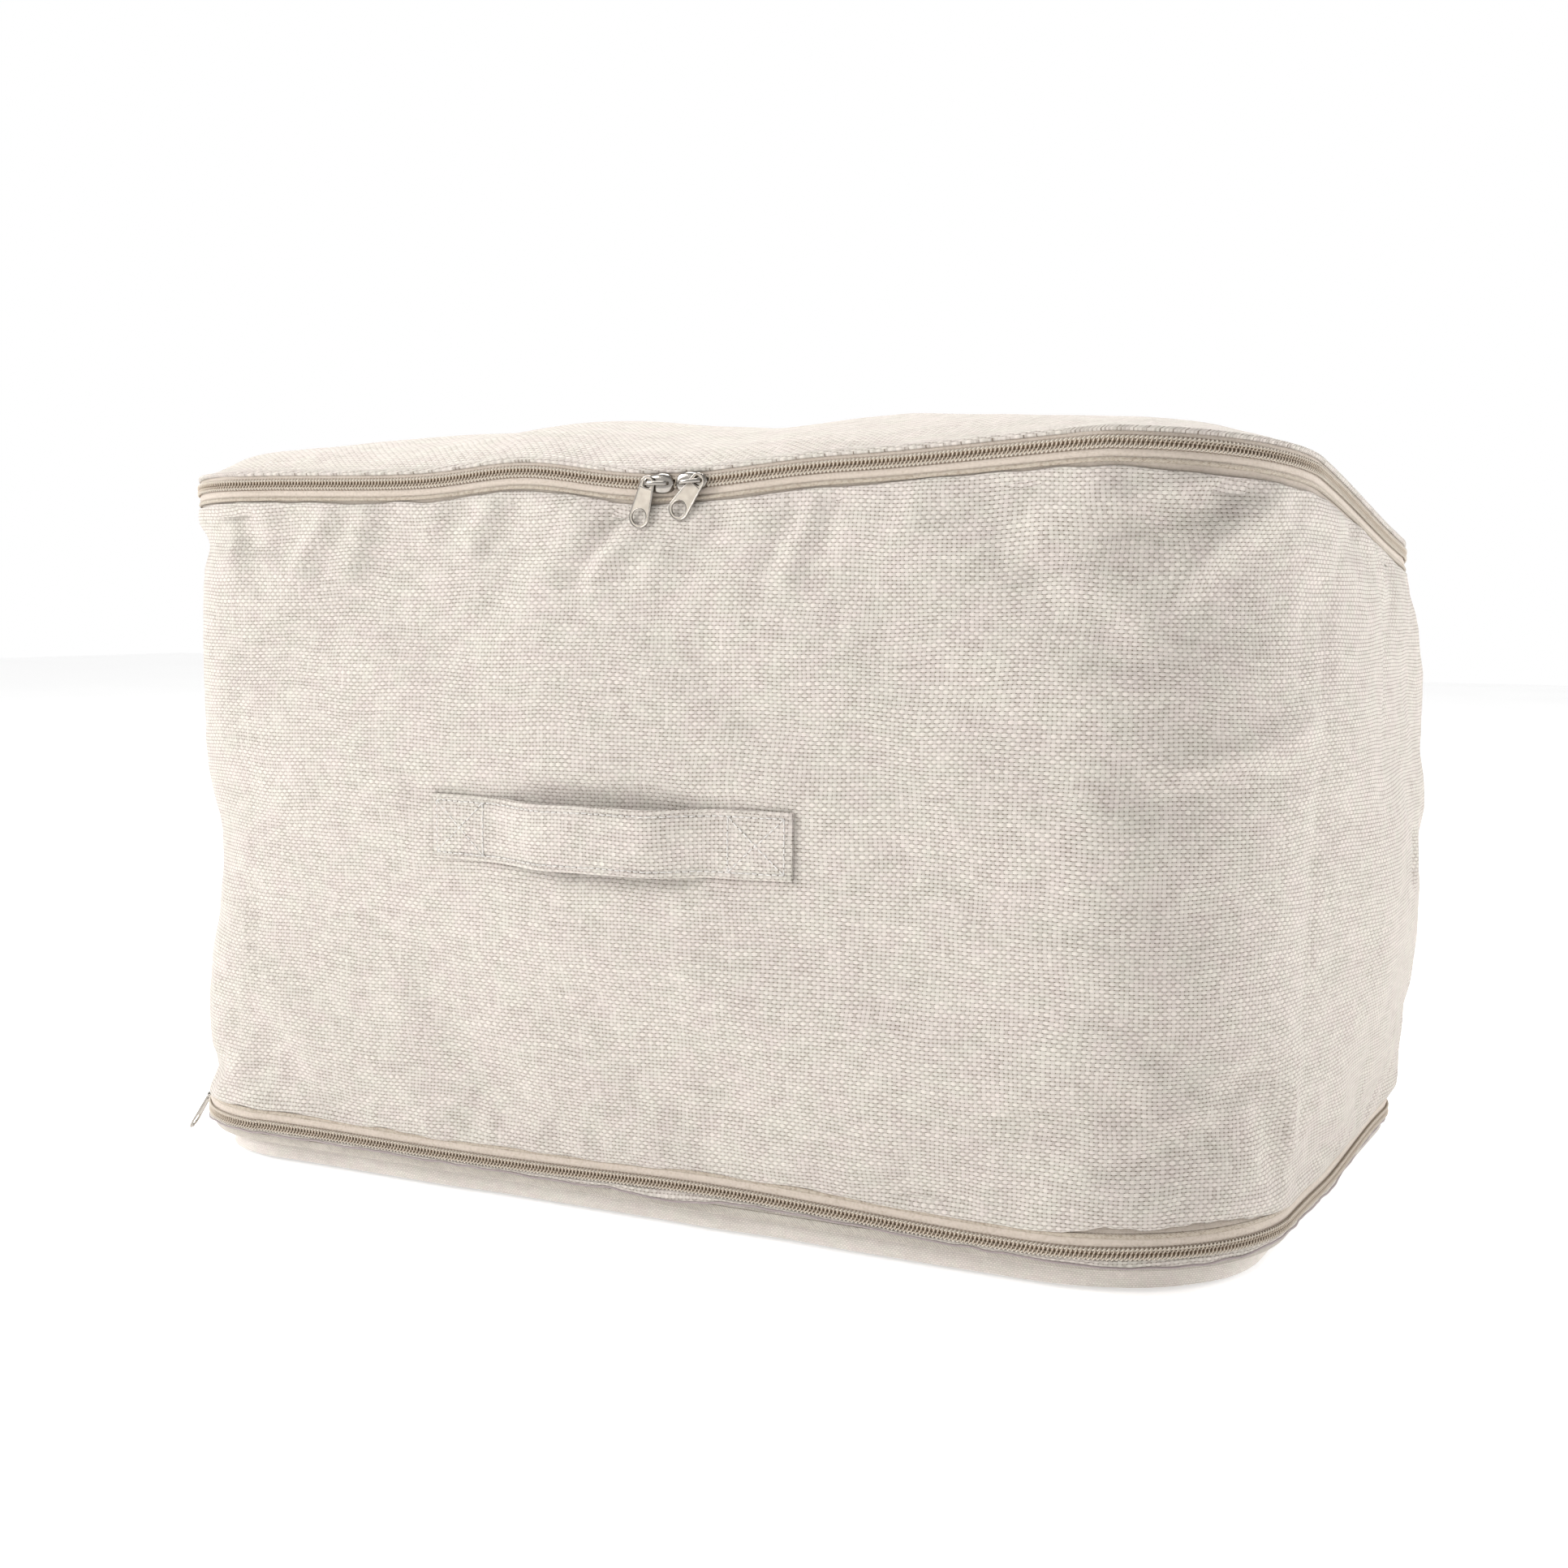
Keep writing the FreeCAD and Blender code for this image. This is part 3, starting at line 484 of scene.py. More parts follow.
def plain_weave(name, warp_mm, weft_mm, light, dark, depth=0.0004):
    """Plain-woven cloth: threads over and under each other, uneven in thickness and tone, with painted shade in
    the gaps between threads and on threads where they dive under.
    """
    m = Shader(name, roughness=0.92, sheen=0.15, specular=0.15)
    x, y = m.uv(1 / (warp_mm * MM), 1 / (weft_mm * MM))
    x = x + m.noise(m.vector(x, y), 0.035, 1.0) * 3.0
    y = y + m.noise(m.vector(y, x, 5.0), 0.035, 1.0) * 3.0
    column, row = m.math("FLOOR", x), m.math("FLOOR", y)
    fx, fy = x - column - 0.5, y - row - 0.5
    over = m.math("FLOORED_MODULO", column + row, 2.0) * 2.0 - 1.0
    warp_slub = m.noise(m.vector(column * 7.3, y * 0.16), 1.0, 3.0)
    weft_slub = m.noise(m.vector(x * 0.13, row * 5.7, 9.0), 1.0, 3.0)

    def thread(across, run, slub, sign):
        """Cover by one thread, and how high it rides, at a point; the weft rides a little higher."""
        half = 0.24 + slub * 0.30
        cover = m.math("ADD", (half - m.math("ABSOLUTE", across)) * 6.0, 0.5, clamp=True)
        wave = m.math("COSINE", run * pi) * (over * sign)
        return cover, (wave + (1.6 + 0.15 * sign)) * cover
    warp_cover, warp = thread(fx, fy, warp_slub, -1.0)
    weft_cover, weft = thread(fy, fx, weft_slub, 1.0)
    is_weft = m.math("GREATER_THAN", weft, warp)
    height = m.math("MAXIMUM", warp, weft)
    cover = m.math("MAXIMUM", warp_cover, weft_cover)
    own = is_weft * weft_slub + (1.0 - is_weft) * warp_slub
    fibre = m.noise(m.vector(x * 3.0, y * 3.0), 1.3, 3.0)
    # painted shade: a thread is darker where it rides low, diving under its neighbour; own and fibre are random
    # yarn tone
    shade = own * 0.55 + fibre * 0.3 + (height - 1.6) * 0.11 + is_weft * 0.17
    dull = tuple(0.55 * a + 0.45 * b for a, b in zip(light, dark))
    face = m.ramp(shade, (0.30, dull), (0.58, light), (0.95, scaled(light, 1.32)))
    # painted shade: where no thread covers, the gaps between threads take the dark colour
    gap_shade = m.mix(cover, (*dark, 1.0), face)
    tint = m.ramp(m.noise(m.vector(x, y, 3.0), 0.16, 3.0), (0.35, (0.985, 1.0, 0.975)),
                  (0.5, (1.0, 0.995, 0.985)), (0.65, (1.0, 0.975, 0.98)))
    m.colour(m.mix(1.0, gap_shade, tint, "MULTIPLY"))
    m.bump(height + fibre * 0.4, depth, 0.42)
    return m.material


def ribbed_tape(name, base, dark, rib_mm=1.0, stitch_at=None):
    """Zip tape: close diagonal ribs and, beside the teeth, a row of stitch holes painted dark as shade, with
    painted shadow on the tape under the coil.
    """
    m = Shader(name, roughness=0.75, sheen=0.15, specular=0.25)
    x, y = m.uv(1 / (rib_mm * MM), 1 / MM)
    rib = m.math("SINE", (x + y * 1.2) * (2 * pi))
    cross = m.math("SINE", y * (2 * pi / 0.55))
    weave = rib * 0.5 + cross * 0.35
    shade = weave * 0.2 + m.object_noise(900.0, 2.0) * 0.9
    colour = m.ramp(shade, (0.15, dark), (0.5, base), (0.85, scaled(base, 1.06)))
    broad = m.ramp(m.object_noise(30.0, 3.0), (0.35, (0.95, 0.94, 0.93)), (0.65, (1.0, 1.0, 1.0)))
    colour = m.mix(1.0, colour, broad, "MULTIPLY")
    if stitch_at is not None:
        # painted shadow: the tape is darkened under the coil, between the stitch line and the chain
        under_coil_shadow = m.math("MULTIPLY", stitch_at - 0.3 - y, 1.6, clamp=True)
        colour = m.mix(under_coil_shadow, colour, (0.25, 0.175, 0.115, 1.0))
        # painted shade: a dotted dark line stands for the shade inside the stitch holes
        off = m.math("ABSOLUTE", y - stitch_at)
        line = m.math("SUBTRACT", 1.0, off * 1.9, clamp=True)
        stitch_hole_shade = 0.65 + m.math("SINE", x * (2 * pi / 2)) * 0.35
        colour = m.mix(line * stitch_hole_shade, colour, (0.17, 0.12, 0.08, 1.0))
    m.colour(colour)
    m.bump(weave, 0.00012, 0.6)
    return m.material


def woven_binding(name, base):
    """Narrow binding tape inside the bag, its ribs following the object."""
    m = Shader(name, roughness=0.8, sheen=0.15, specular=0.25)
    x, y, z = m.split(m.place())
    rib = m.math("SINE", (x + (y + z)) * (2 * pi / 0.0014))
    shade = rib * 0.18 + m.object_noise(900.0, 3.0) * 0.9
    m.colour(m.ramp(shade, (0.2, scaled(base, 0.7)), (0.6, base)))
    m.bump(rib, 0.00012, 0.5)
    return m.material


def coil_plastic(name, base):
    """Satin nylon teeth, a little darker in places."""
    m = Shader(name, roughness=0.42, specular=0.5)
    m.colour(m.ramp(m.object_noise(500.0, 3.0), (0.3, scaled(base, 0.86)), (0.7, base)))
    m.bump(m.object_noise(2500.0, 2.0), 0.00005, 0.4)
    return m.material


def nickel(name, base, gloss):
    """Polished plate with fine scratches and a faintly uneven shine."""
    m = Shader(name, metallic=1.0, roughness=0.22)
    m.put(gloss + m.noise(m.place(), 700.0, 4.0, 0.7) * 0.22, m.surface.inputs["Roughness"])
    m.colour(m.ramp(m.object_noise(300.0, 3.0), (0.3, scaled(base, 0.82)), (0.7, base)))
    m.bump(m.object_noise(1500.0, 3.0), 0.00003, 0.35)
    return m.material


def sewing_thread(name, base):
    m = Shader(name, roughness=0.6, sheen=0.2, specular=0.3)
    twist = m.object_noise(1800.0, 2.0)
    m.colour(m.ramp(twist, (0.3, scaled(base, 0.78)), (0.65, base)))
    m.bump(twist, 0.00008, 0.6)
    return m.material


# In each weave the second colour is painted shade, for the gaps between threads and for the threads diving
# under.
CLOTH_LIGHT, CLOTH_PAINTED_SHADE = (0.478, 0.442, 0.405), (0.125, 0.095, 0.07)
cloth = plain_weave("natural plain weave", 2.05, 1.8, CLOTH_LIGHT, CLOTH_PAINTED_SHADE)
lining = plain_weave("inner cloth", 0.9, 0.9, (0.62, 0.58, 0.54), (0.42, 0.38, 0.34), depth=0.00012)
tape = ribbed_tape("zip tape", (0.50, 0.435, 0.375), (0.38, 0.32, 0.26), stitch_at=0.0)
bead = ribbed_tape("tape edge roll", (0.42, 0.365, 0.30), (0.19, 0.15, 0.105), rib_mm=1.5)
plain_binding = woven_binding("inner binding tape", (0.46, 0.42, 0.37))
binding = ribbed_tape("binding tape", (0.46, 0.42, 0.37), (0.32, 0.28, 0.23), rib_mm=1.6)
coil = coil_plastic("coil nylon", (0.46, 0.385, 0.305))
metal = nickel("nickel plate", (0.34, 0.315, 0.285), 0.06)
tab_metal = nickel("satin nickel", (0.40, 0.36, 0.31), 0.34)
# painted shade: a near-black colour stands for the shade inside needle holes
needle_hole_shade = sewing_thread("needle hole shade", (0.10, 0.075, 0.055))
thread = sewing_thread("sewing thread", (0.64, 0.615, 0.585))
cord = sewing_thread("chain stitch thread", (0.52, 0.465, 0.39))
edge_thread = sewing_thread("seam edge thread", (0.30, 0.25, 0.245))


# ---- cloth settling

SETTLE_STEP, SETTLE_LEVELS, SETTLE_FRAMES = 8.0, 40, 22
SETTLE_MOST, SETTLE_BROAD_SHARE, SETTLE_ROUNDS = 1.6, 0.25, 12


def settled_wall():
    """How far a coarse cloth, slightly larger than the wall and held at its edges, buckles outwards."""
    s = np.arange(distance(ZIP_START, BASE_MARKS), distance(ZIP_END, BASE_MARKS) + SETTLE_STEP, SETTLE_STEP)
    u = turn_of(s, BASE_MARKS)
    low, high = BASE_CHAIN_Z + TAPE_SHOWN, top_z(u) - TAPE_SHOWN
    z = low + (high - low)[None, :] * np.linspace(0, 1, SETTLE_LEVELS)[:, None]
    uu = np.broadcast_to(u[None, :], z.shape)
    smooth, relief = wall_point(uu, z, 0.0), wall_relief(uu, z)
    outward = wall_point(uu, z, 1.0) - smooth
    start = smooth + outward * relief[..., None]
    sheet = grid_object("settling_cloth", start)
    held = sheet.vertex_groups.new(name="held")
    edges = np.zeros(z.shape, bool)
    edges[[0, -1], :] = True
    edges[:, [0, -1]] = True
    held.add(np.flatnonzero(edges.ravel()).tolist(), 1.0, "REPLACE")
    setup = sheet.modifiers.new("settle", "CLOTH").settings
    setup.quality, setup.mass, setup.air_damping = 5, 0.2, 4.0
    setup.tension_stiffness = setup.compression_stiffness = 12.0
    setup.shear_stiffness, setup.bending_stiffness = 6.0, 0.35
    setup.vertex_group_mass = "held"
    setup.shrink_min = -0.02
    setup.use_pressure, setup.uniform_pressure_force = True, 0.35
    setup.effector_weights.gravity = 0.0
    for number in range(1, SETTLE_FRAMES + 1):
        bpy.context.scene.frame_set(number)
    moved_mesh = sheet.evaluated_get(bpy.context.evaluated_depsgraph_get()).to_mesh()
    points = np.zeros(len(moved_mesh.vertices) * 3)
    moved_mesh.vertices.foreach_get("co", points)
    bpy.data.objects.remove(sheet)
    bpy.context.scene.frame_set(1)
    shift = ((points.reshape(start.shape) / MM - start) * outward).sum(-1)
    broad = shift.copy()
    for _ in range(SETTLE_ROUNDS):
        broad[1:-1, 1:-1] = (broad[:-2, 1:-1] + broad[2:, 1:-1] + broad[1:-1, :-2] + broad[1:-1, 2:]) / 4
    return s, SETTLE_MOST * np.tanh((shift - broad + SETTLE_BROAD_SHARE * broad) / SETTLE_MOST)


def settled_shift(settled, s, share):
    """The settled cloth's shift at distance s and height fraction share of the wall."""
    places, shifts = settled
    column = np.clip((s - places[0]) / SETTLE_STEP, 0, shifts.shape[1] - 1.001)
    row = np.clip(share * (SETTLE_LEVELS - 1), 0, SETTLE_LEVELS - 1.001)
    i, j = row.astype(int), column.astype(int)
    fi, fj = row - i, column - j
    below = shifts[i, j] * (1 - fj) + shifts[i, j + 1] * fj
    above = shifts[i + 1, j] * (1 - fj) + shifts[i + 1, j + 1] * fj
    return below * (1 - fi) + above * fi


# ---- wall cloth

SEAM_FADE = 28.0  # how far from a back seam the relief dies out
WALL_HEM = ((7.0, -0.1), (2.5, 0.1), (0.5, 0.3), (0.0, 0.9), (0.35, 1.5))  # in from the edge, outwards
WALL_OUT = 1.6  # the cloth's face, outwards from the wall surface
EYELET_CUT = 5.4


def wall_sheet(name, start, end, step, levels, settled=None):
    """Cloth round the bag between two values of u, its top and bottom edges turned in."""
    s = np.arange(distance(start, BASE_MARKS), distance(end, BASE_MARKS) + step / 2, step)
    u = turn_of(s, BASE_MARKS)
    high = wall_top_edge(u) + 0.5 * noise(s, s, 14, 50, 11) + 0.5 * noise(s, s, 45, 50, 12)
    low = wall_bottom_edge(u) + 0.5 * noise(s, s, 16, 50, 13) + 0.5 * noise(s, s, 50, 50, 14)
    even = np.linspace(0, 1, levels)
    share = 0.65 * even + 0.35 * (1 - np.cos(pi * even)) / 2
    z = low[None, :] + 1.2 + (high - low - 2.4)[None, :] * share[:, None]
    uu = np.broadcast_to(u[None, :], z.shape)
    relief = wall_relief(uu, z)
    if settled:
        shift = settled_shift(settled, s, (z - low) / (high - low))
        relief = relief + shift * clear_of_fittings(s, z) * (1 - near_tabs(s, z, 26, 17))
    relief = relief * ease((s - s[0]) / SEAM_FADE) * ease((s[-1] - s) / SEAM_FADE)
    body = wall_point(uu, z, WALL_OUT + relief)
    bottom_rows = [wall_point(u, low + up, out) for up, out in WALL_HEM]
    top_rows = [wall_point(u, high - down, out) for down, out in WALL_HEM[::-1]]
    points = np.concatenate([bottom_rows, body, top_rows])
    heights = np.concatenate([[low - up for up, _ in WALL_HEM], z, [high + up for up, _ in WALL_HEM[::-1]]])
    run = np.broadcast_to(s[None, :], heights.shape)
    faces = grid_faces(*heights.shape)
    middle_s, middle_z = run.reshape(-1)[faces].mean(1), heights.reshape(-1)[faces].mean(1)
    faces = faces[np.hypot(middle_s - EYELET_S, middle_z - EYELET_Z) > EYELET_CUT]
    return mesh_object(name, points, faces, np.stack([run, heights], -1))


def wall_top_edge(u):
    turn = np.abs(np.mod(u, 8.0) - 4.5)
    shown = TAPE_SHOWN + bumps(distance(u, TOP_MARKS), ((290, 90, 2.2),))
    return top_z(u) - (shown - (shown - 1.0) * ease((0.98 - turn) / 0.2))


def wall_bottom_edge(u):
    s = distance(u, BASE_MARKS)
    torn = 0.7 * noise(s, s, 6, 60, 61) + 0.9 * noise(s, s, 24, 60, 62)
    corner = bumps(s, ((275, 48, 1.0),))
    return base_chain_z(u) + TAPE_SHOWN - 1.5 + corner * (3.6 + torn)


def make_walls():
    wrap = wall_sheet("wall_cloth", ZIP_START, ZIP_END, 3.1, 104, settled_wall())
    finish_piece(wrap, "walls", "wall_cloth", cloth, "wall_wrap")
    back = wall_sheet("back_cloth", BACK_START, BACK_END, 4.2, 76)
    finish_piece(back, "walls", "wall_cloth", cloth, "back_wall")


# ---- zips

def along(start, end, step, marks):
    s = np.arange(distance(start, marks), distance(end, marks) + step / 2, step)
    return turn_of(s, marks)


def wall_tape_point(u, h, d):
    """Below the top chain: follows the wall."""
    return wall_point(u, top_z(u) + h, d)


def lid_tape_point(u, h, d):
    return ring_point(u, top_z(u) + h, d)


def low_tape_point(u, h, d):
    return wall_point(u, base_chain_z(u) + h, d)


def foot_tape_point(u, h, d):
    return ring_point(u, base_chain_z(u) + h, d, top=False)


ZIP_PITCH = 2.0
HELIX_SIDES = 5


def helix(u, marks, point, centre, reach, depth, radius, phase, turn_points=10):
    """Thread or wire coiled along the chain about a line at centre (height, offset)."""
    s0, s1 = distance(u[0], marks), distance(u[1], marks)
    turns = int(round((s1 - s0) / ZIP_PITCH))
    k = np.arange(turns * turn_points + 1)
    run = turn_of(s0 + (s1 - s0) * k / (turns * turn_points), marks)
    angle = 2 * pi * k / turn_points + phase
    h, d = centre[0] + reach * np.sin(angle), centre[1] + depth * np.cos(angle)
    line = point(run, h, d)
    outward = unit(point(run, centre[0] + 1.4 * (h - centre[0]), centre[1] + 1.4 * (d - centre[1])) - line)
    side = unit(np.cross(unit(np.gradient(line, axis=0)), outward))
    turn = full_turn(HELIX_SIDES)
    ring = outward[:, None, :] * np.cos(turn)[None, :, None] + side[:, None, :] * np.sin(turn)[None, :, None]
    return line[:, None, :] + radius * ring


def zip_half(name, marks, ends, point, sign, body, node):
    """One row of nylon coil and the twisted chain stitch that holds it to its tape."""
    wire = helix(ends, marks, point, (sign * 1.15, 0.95), 0.95, 0.62, 0.40, 0.0 if sign > 0 else pi)
    finish_piece(grid_object(name + "_coil", wire, close_columns=True), body, "zip_coil", coil, node)
    sewn = helix(ends, marks, point, (sign * 2.05, 1.35), 0.42, 0.34, 0.37, 1.0, turn_points=8)
    finish_piece(grid_object(name + "_chain_stitch", sewn, close_columns=True), body, "zip_coil", cord)


def tape_piece(name, u, profile, point, body, material, *nodes, middle=0.0):
    points = np.stack([point(u, h, d) for h, d in profile])
    s = distance(u, TOP_MARKS)
    heights = np.abs([h for h, _ in profile]) - middle
    uv = uv_grid(s[None, :], heights[:, None])
    piece = mesh_object(name, points, grid_faces(len(profile), len(u), close_rows=True), uv)
    return finish_piece(piece, body, "zip_tape", material, *nodes)


# Sections of the tapes, each a loop of (height from the chain, offset outwards)
TOP_WALL_TAPE = ((-0.05, 0.2), (-2.4, 0.2), (-3.0, 0.35), (-4.4, 0.75), (-5.8, 0.55), (-6.6, 0.0),
                 (-15.0, -0.6), (-15.0, -1.3), (-6.6, -1.0), (-3.0, -0.9), (-0.05, -0.9))
TOP_LID_TAPE = ((0.05, 0.2), (2.4, 0.2), (LID_RIM - 0.2, 0.15), (LID_RIM - 0.2, -0.9), (2.4, -0.9),
                (0.05, -0.9))
BOTTOM_WALL_TAPE = ((0.05, 0.2), (2.4, 0.2), (3.2, 0.35), (4.6, 0.8), (6.0, 0.6), (6.8, 0.1), (15.0, -0.6),
                    (15.0, -1.3), (6.8, -1.0), (3.2, -0.9), (0.05, -0.9))
BOTTOM_BASE_TAPE = ((-0.05, 0.2), (-2.4, 0.2), (-3.3, -0.4), (-4.4, -2.4), (-7.0, -6.5), (-6.4, -7.2),
                    (-3.8, -3.2), (-2.6, -1.0), (-0.05, -0.9))
TAPE_STEP, STITCHES_AT = 2.5, 2.8


def edge_roll(height, offset, high, wide):
    return [(height + high * cos(a), offset + wide * sin(a)) for a in np.arange(8) * pi / 4]


def make_top_zip():
    u = along(ZIP_START, ZIP_END, TAPE_STEP, TOP_MARKS)
    ends = (ZIP_START, ZIP_END)
    zip_half("top_lid_side", TOP_MARKS, ends, lid_tape_point, 1, "lid", "top_zip_coil_lid")
    zip_half("top_wall_side", TOP_MARKS, ends, lid_tape_point, -1, "walls", "top_zip_coil_wall")
    tape_piece("top_tape_wall_side", u, TOP_WALL_TAPE, wall_tape_point, "walls", tape, "top_zip_tape_wall",
               middle=STITCHES_AT)
    tape_piece("top_tape_edge_roll", u, edge_roll(-7.5, 0.35, 1.15, 1.0), wall_tape_point, "walls", bead)
    tape_piece("top_tape_lid_side", u, TOP_LID_TAPE, lid_tape_point, "lid", tape, "top_zip_tape_lid",
               middle=STITCHES_AT)


def make_bottom_zip():
    u = along(0, 8, TAPE_STEP, BASE_MARKS)
    zip_half("bottom_wall_side", BASE_MARKS, (0, 8), foot_tape_point, 1, "walls", "bottom_zip_coil_wall")
    zip_half("bottom_base_side", BASE_MARKS, (0, 8), foot_tape_point, -1, "base", "bottom_zip_coil_base")
    tape_piece("bottom_tape_wall_side", u, BOTTOM_WALL_TAPE, low_tape_point, "walls", tape,
               "bottom_zip_tape_wall", middle=STITCHES_AT)
    tape_piece("bottom_tape_edge_roll", u, edge_roll(7.6, 0.1, 1.3, 0.75), low_tape_point, "walls", bead)
    tape_piece("bottom_tape_base_side", u, BOTTOM_BASE_TAPE, foot_tape_point, "base", tape,
               "bottom_zip_tape_base", middle=STITCHES_AT)


# ---- base cloth

BASE_PATCHES = ((-292, 16, 1.8), (-40, 34, 1.3), (24, 26, 3.6), (270, 55, 2.4), (430, 40, 1.0), (900, 200, 1.5))
BASE_TUCK, TUCK_ROWS, TUCK_POWER = 60, 8, 0.8


def make_base():
    """The bottom cloth: flat where it rests, rolling up to the zip round its edge."""
    u = along(-4, 4, 3.2, BASE_MARKS)
    s = distance(u, BASE_MARKS)
    show = 0.9 + bumps(s, BASE_PATCHES) + 0.35 * noise(s, s, 9, 60, 22)
    top = base_chain_z(u) - 2.9
    edge = top - 0.6 - show
    crumple = 0.5 * noise(s, s, 12, 60, 23)
    roll = ((top + 0.6, -0.3), (top, 0.5), (top - 0.5 * show, 0.9 + crumple), (edge + 0.5, 0.8 + crumple),
            (edge, 0.3 + crumple), (edge - 0.3, -0.8))
    rows = [ring_point(u, height, offset, False) for height, offset in roll]
    run = [0.0, 1.0, 3.0, 5.0, 6.0, 7.5]
    for f in np.arange(1, TUCK_ROWS + 1) / TUCK_ROWS:
        sag = 0.8 * noise(s, s + 300 * f, 40, 60, 24) * sin(pi * f)
        height = np.maximum((edge - 0.3) * (1 - f) ** TUCK_POWER + sag * f * 0.5, 0)
        rows.append(ring_point(u, height, -0.8 - BASE_TUCK * f, False))
        run.append(7.5 + 63.0 * f)
    flat_from = len(rows)
    x, y, _, _ = plan(u, BASE)
    for share in (0.36, 0.5, 0.75, 1.0):
        cx = np.clip(x, -BASE_DEPTH * 0.25, BASE_DEPTH * 0.25)
        rows.append(np.stack([x + (cx - x) * share, y * (1 - share), np.zeros_like(x)], -1))
    points = np.stack(rows)
    uv = points[..., :2].copy()
    uv[:flat_from] = uv_grid(s[None, :], np.array(run)[:, None])
    piece = grid_object("base_cloth", points, uv)
    finish_piece(piece, "base", "wall_cloth", cloth, "base_panel")
    seam = [(0.55 * cos(a), 0.55 * sin(a)) for a in np.arange(6) * pi / 3]
    cord_rows = np.stack([ring_point(u, edge + 0.2 + h, 0.9 + crumple + d, False) for h, d in seam])
    edge_piece = mesh_object("base_edge_seam", cord_rows, grid_faces(6, len(u), close_rows=True),
                             uv_grid(s[None, :], np.arange(6.0)[:, None]))
    finish_piece(edge_piece, "base", "binding_tape", edge_thread)


# ---- lid cloth

def inside_distance(x, y):
    """How far a point of the lid is in from its outline."""
    radius = np.where(x < 0, TOP_LEFT_RADIUS, RIGHT_RADIUS)
    qx, qy = np.abs(x) - (TOP_LENGTH / 2 - radius), np.abs(y) - (TOP_DEPTH / 2 - radius)
    corner = np.hypot(np.maximum(qx, 0), np.maximum(qy, 0)) + np.minimum(np.maximum(qx, qy), 0)
    return radius - corner


# The lid bulges over its front edge where the bag is fullest, from FULL_FROM to FULL_TO
FULL_FROM, FULL_TO = -300, 230
LID_PUFF, FULL_PUFF, LID_CROWN, FULL_CROWN_LESS = 1.2, 8.5, 39.0, 9.0


def lid_surface(x, y):
    """Top of the lid cloth."""
    x, y = np.asarray(x, float), np.asarray(y, float)
    d = np.maximum(inside_distance(x, y), 0)
    hinge = ease((TOP_DEPTH / 2 - 1 - y) / 26)
    rim = 0.8 + (LID_RIM - 0.8) * np.clip((TOP_DEPTH / 2 - 1 - y) / 22, 0, 1)
    full = ease((FULL_TO - x) / 160) * ease((x - FULL_FROM) / 60)
    puff = (LID_PUFF + FULL_PUFF * full) * (1 - np.exp(-d / 9)) * hinge
    crown = (LID_CROWN - FULL_CROWN_LESS * full) * (1 - np.exp(-d / 13))
    crown = crown * np.maximum(1 - np.abs(2 * x / TOP_LENGTH) ** 3.5, 0)
    crown = crown * np.maximum(1 - (2 * y / TOP_DEPTH) ** 2, 0)
    soft = ease(d / 40) * (1.8 * noise(x, y, 90, 80, 31) + 0.8 * noise(x, y, 38, 40, 32))
    edge = np.exp(-d / 22) * ease(d / 5) * hinge
    gather = edge * (0.9 * noise(x + y, x - y, 22, 26, 33) + 0.5 * noise(x, y, 11, 13, 34))
    return chain_z(x, y) + rim + 0.9 + puff + crown + soft + gather


LID_HEM = ((0.0, -1.2), (0.3, -2.1), (0.9, -2.4), (1.6, -2.0), (6.0, -1.3))  # inwards, down
LID_OVERHANG, LINING_GAP = 1.3, 1.5


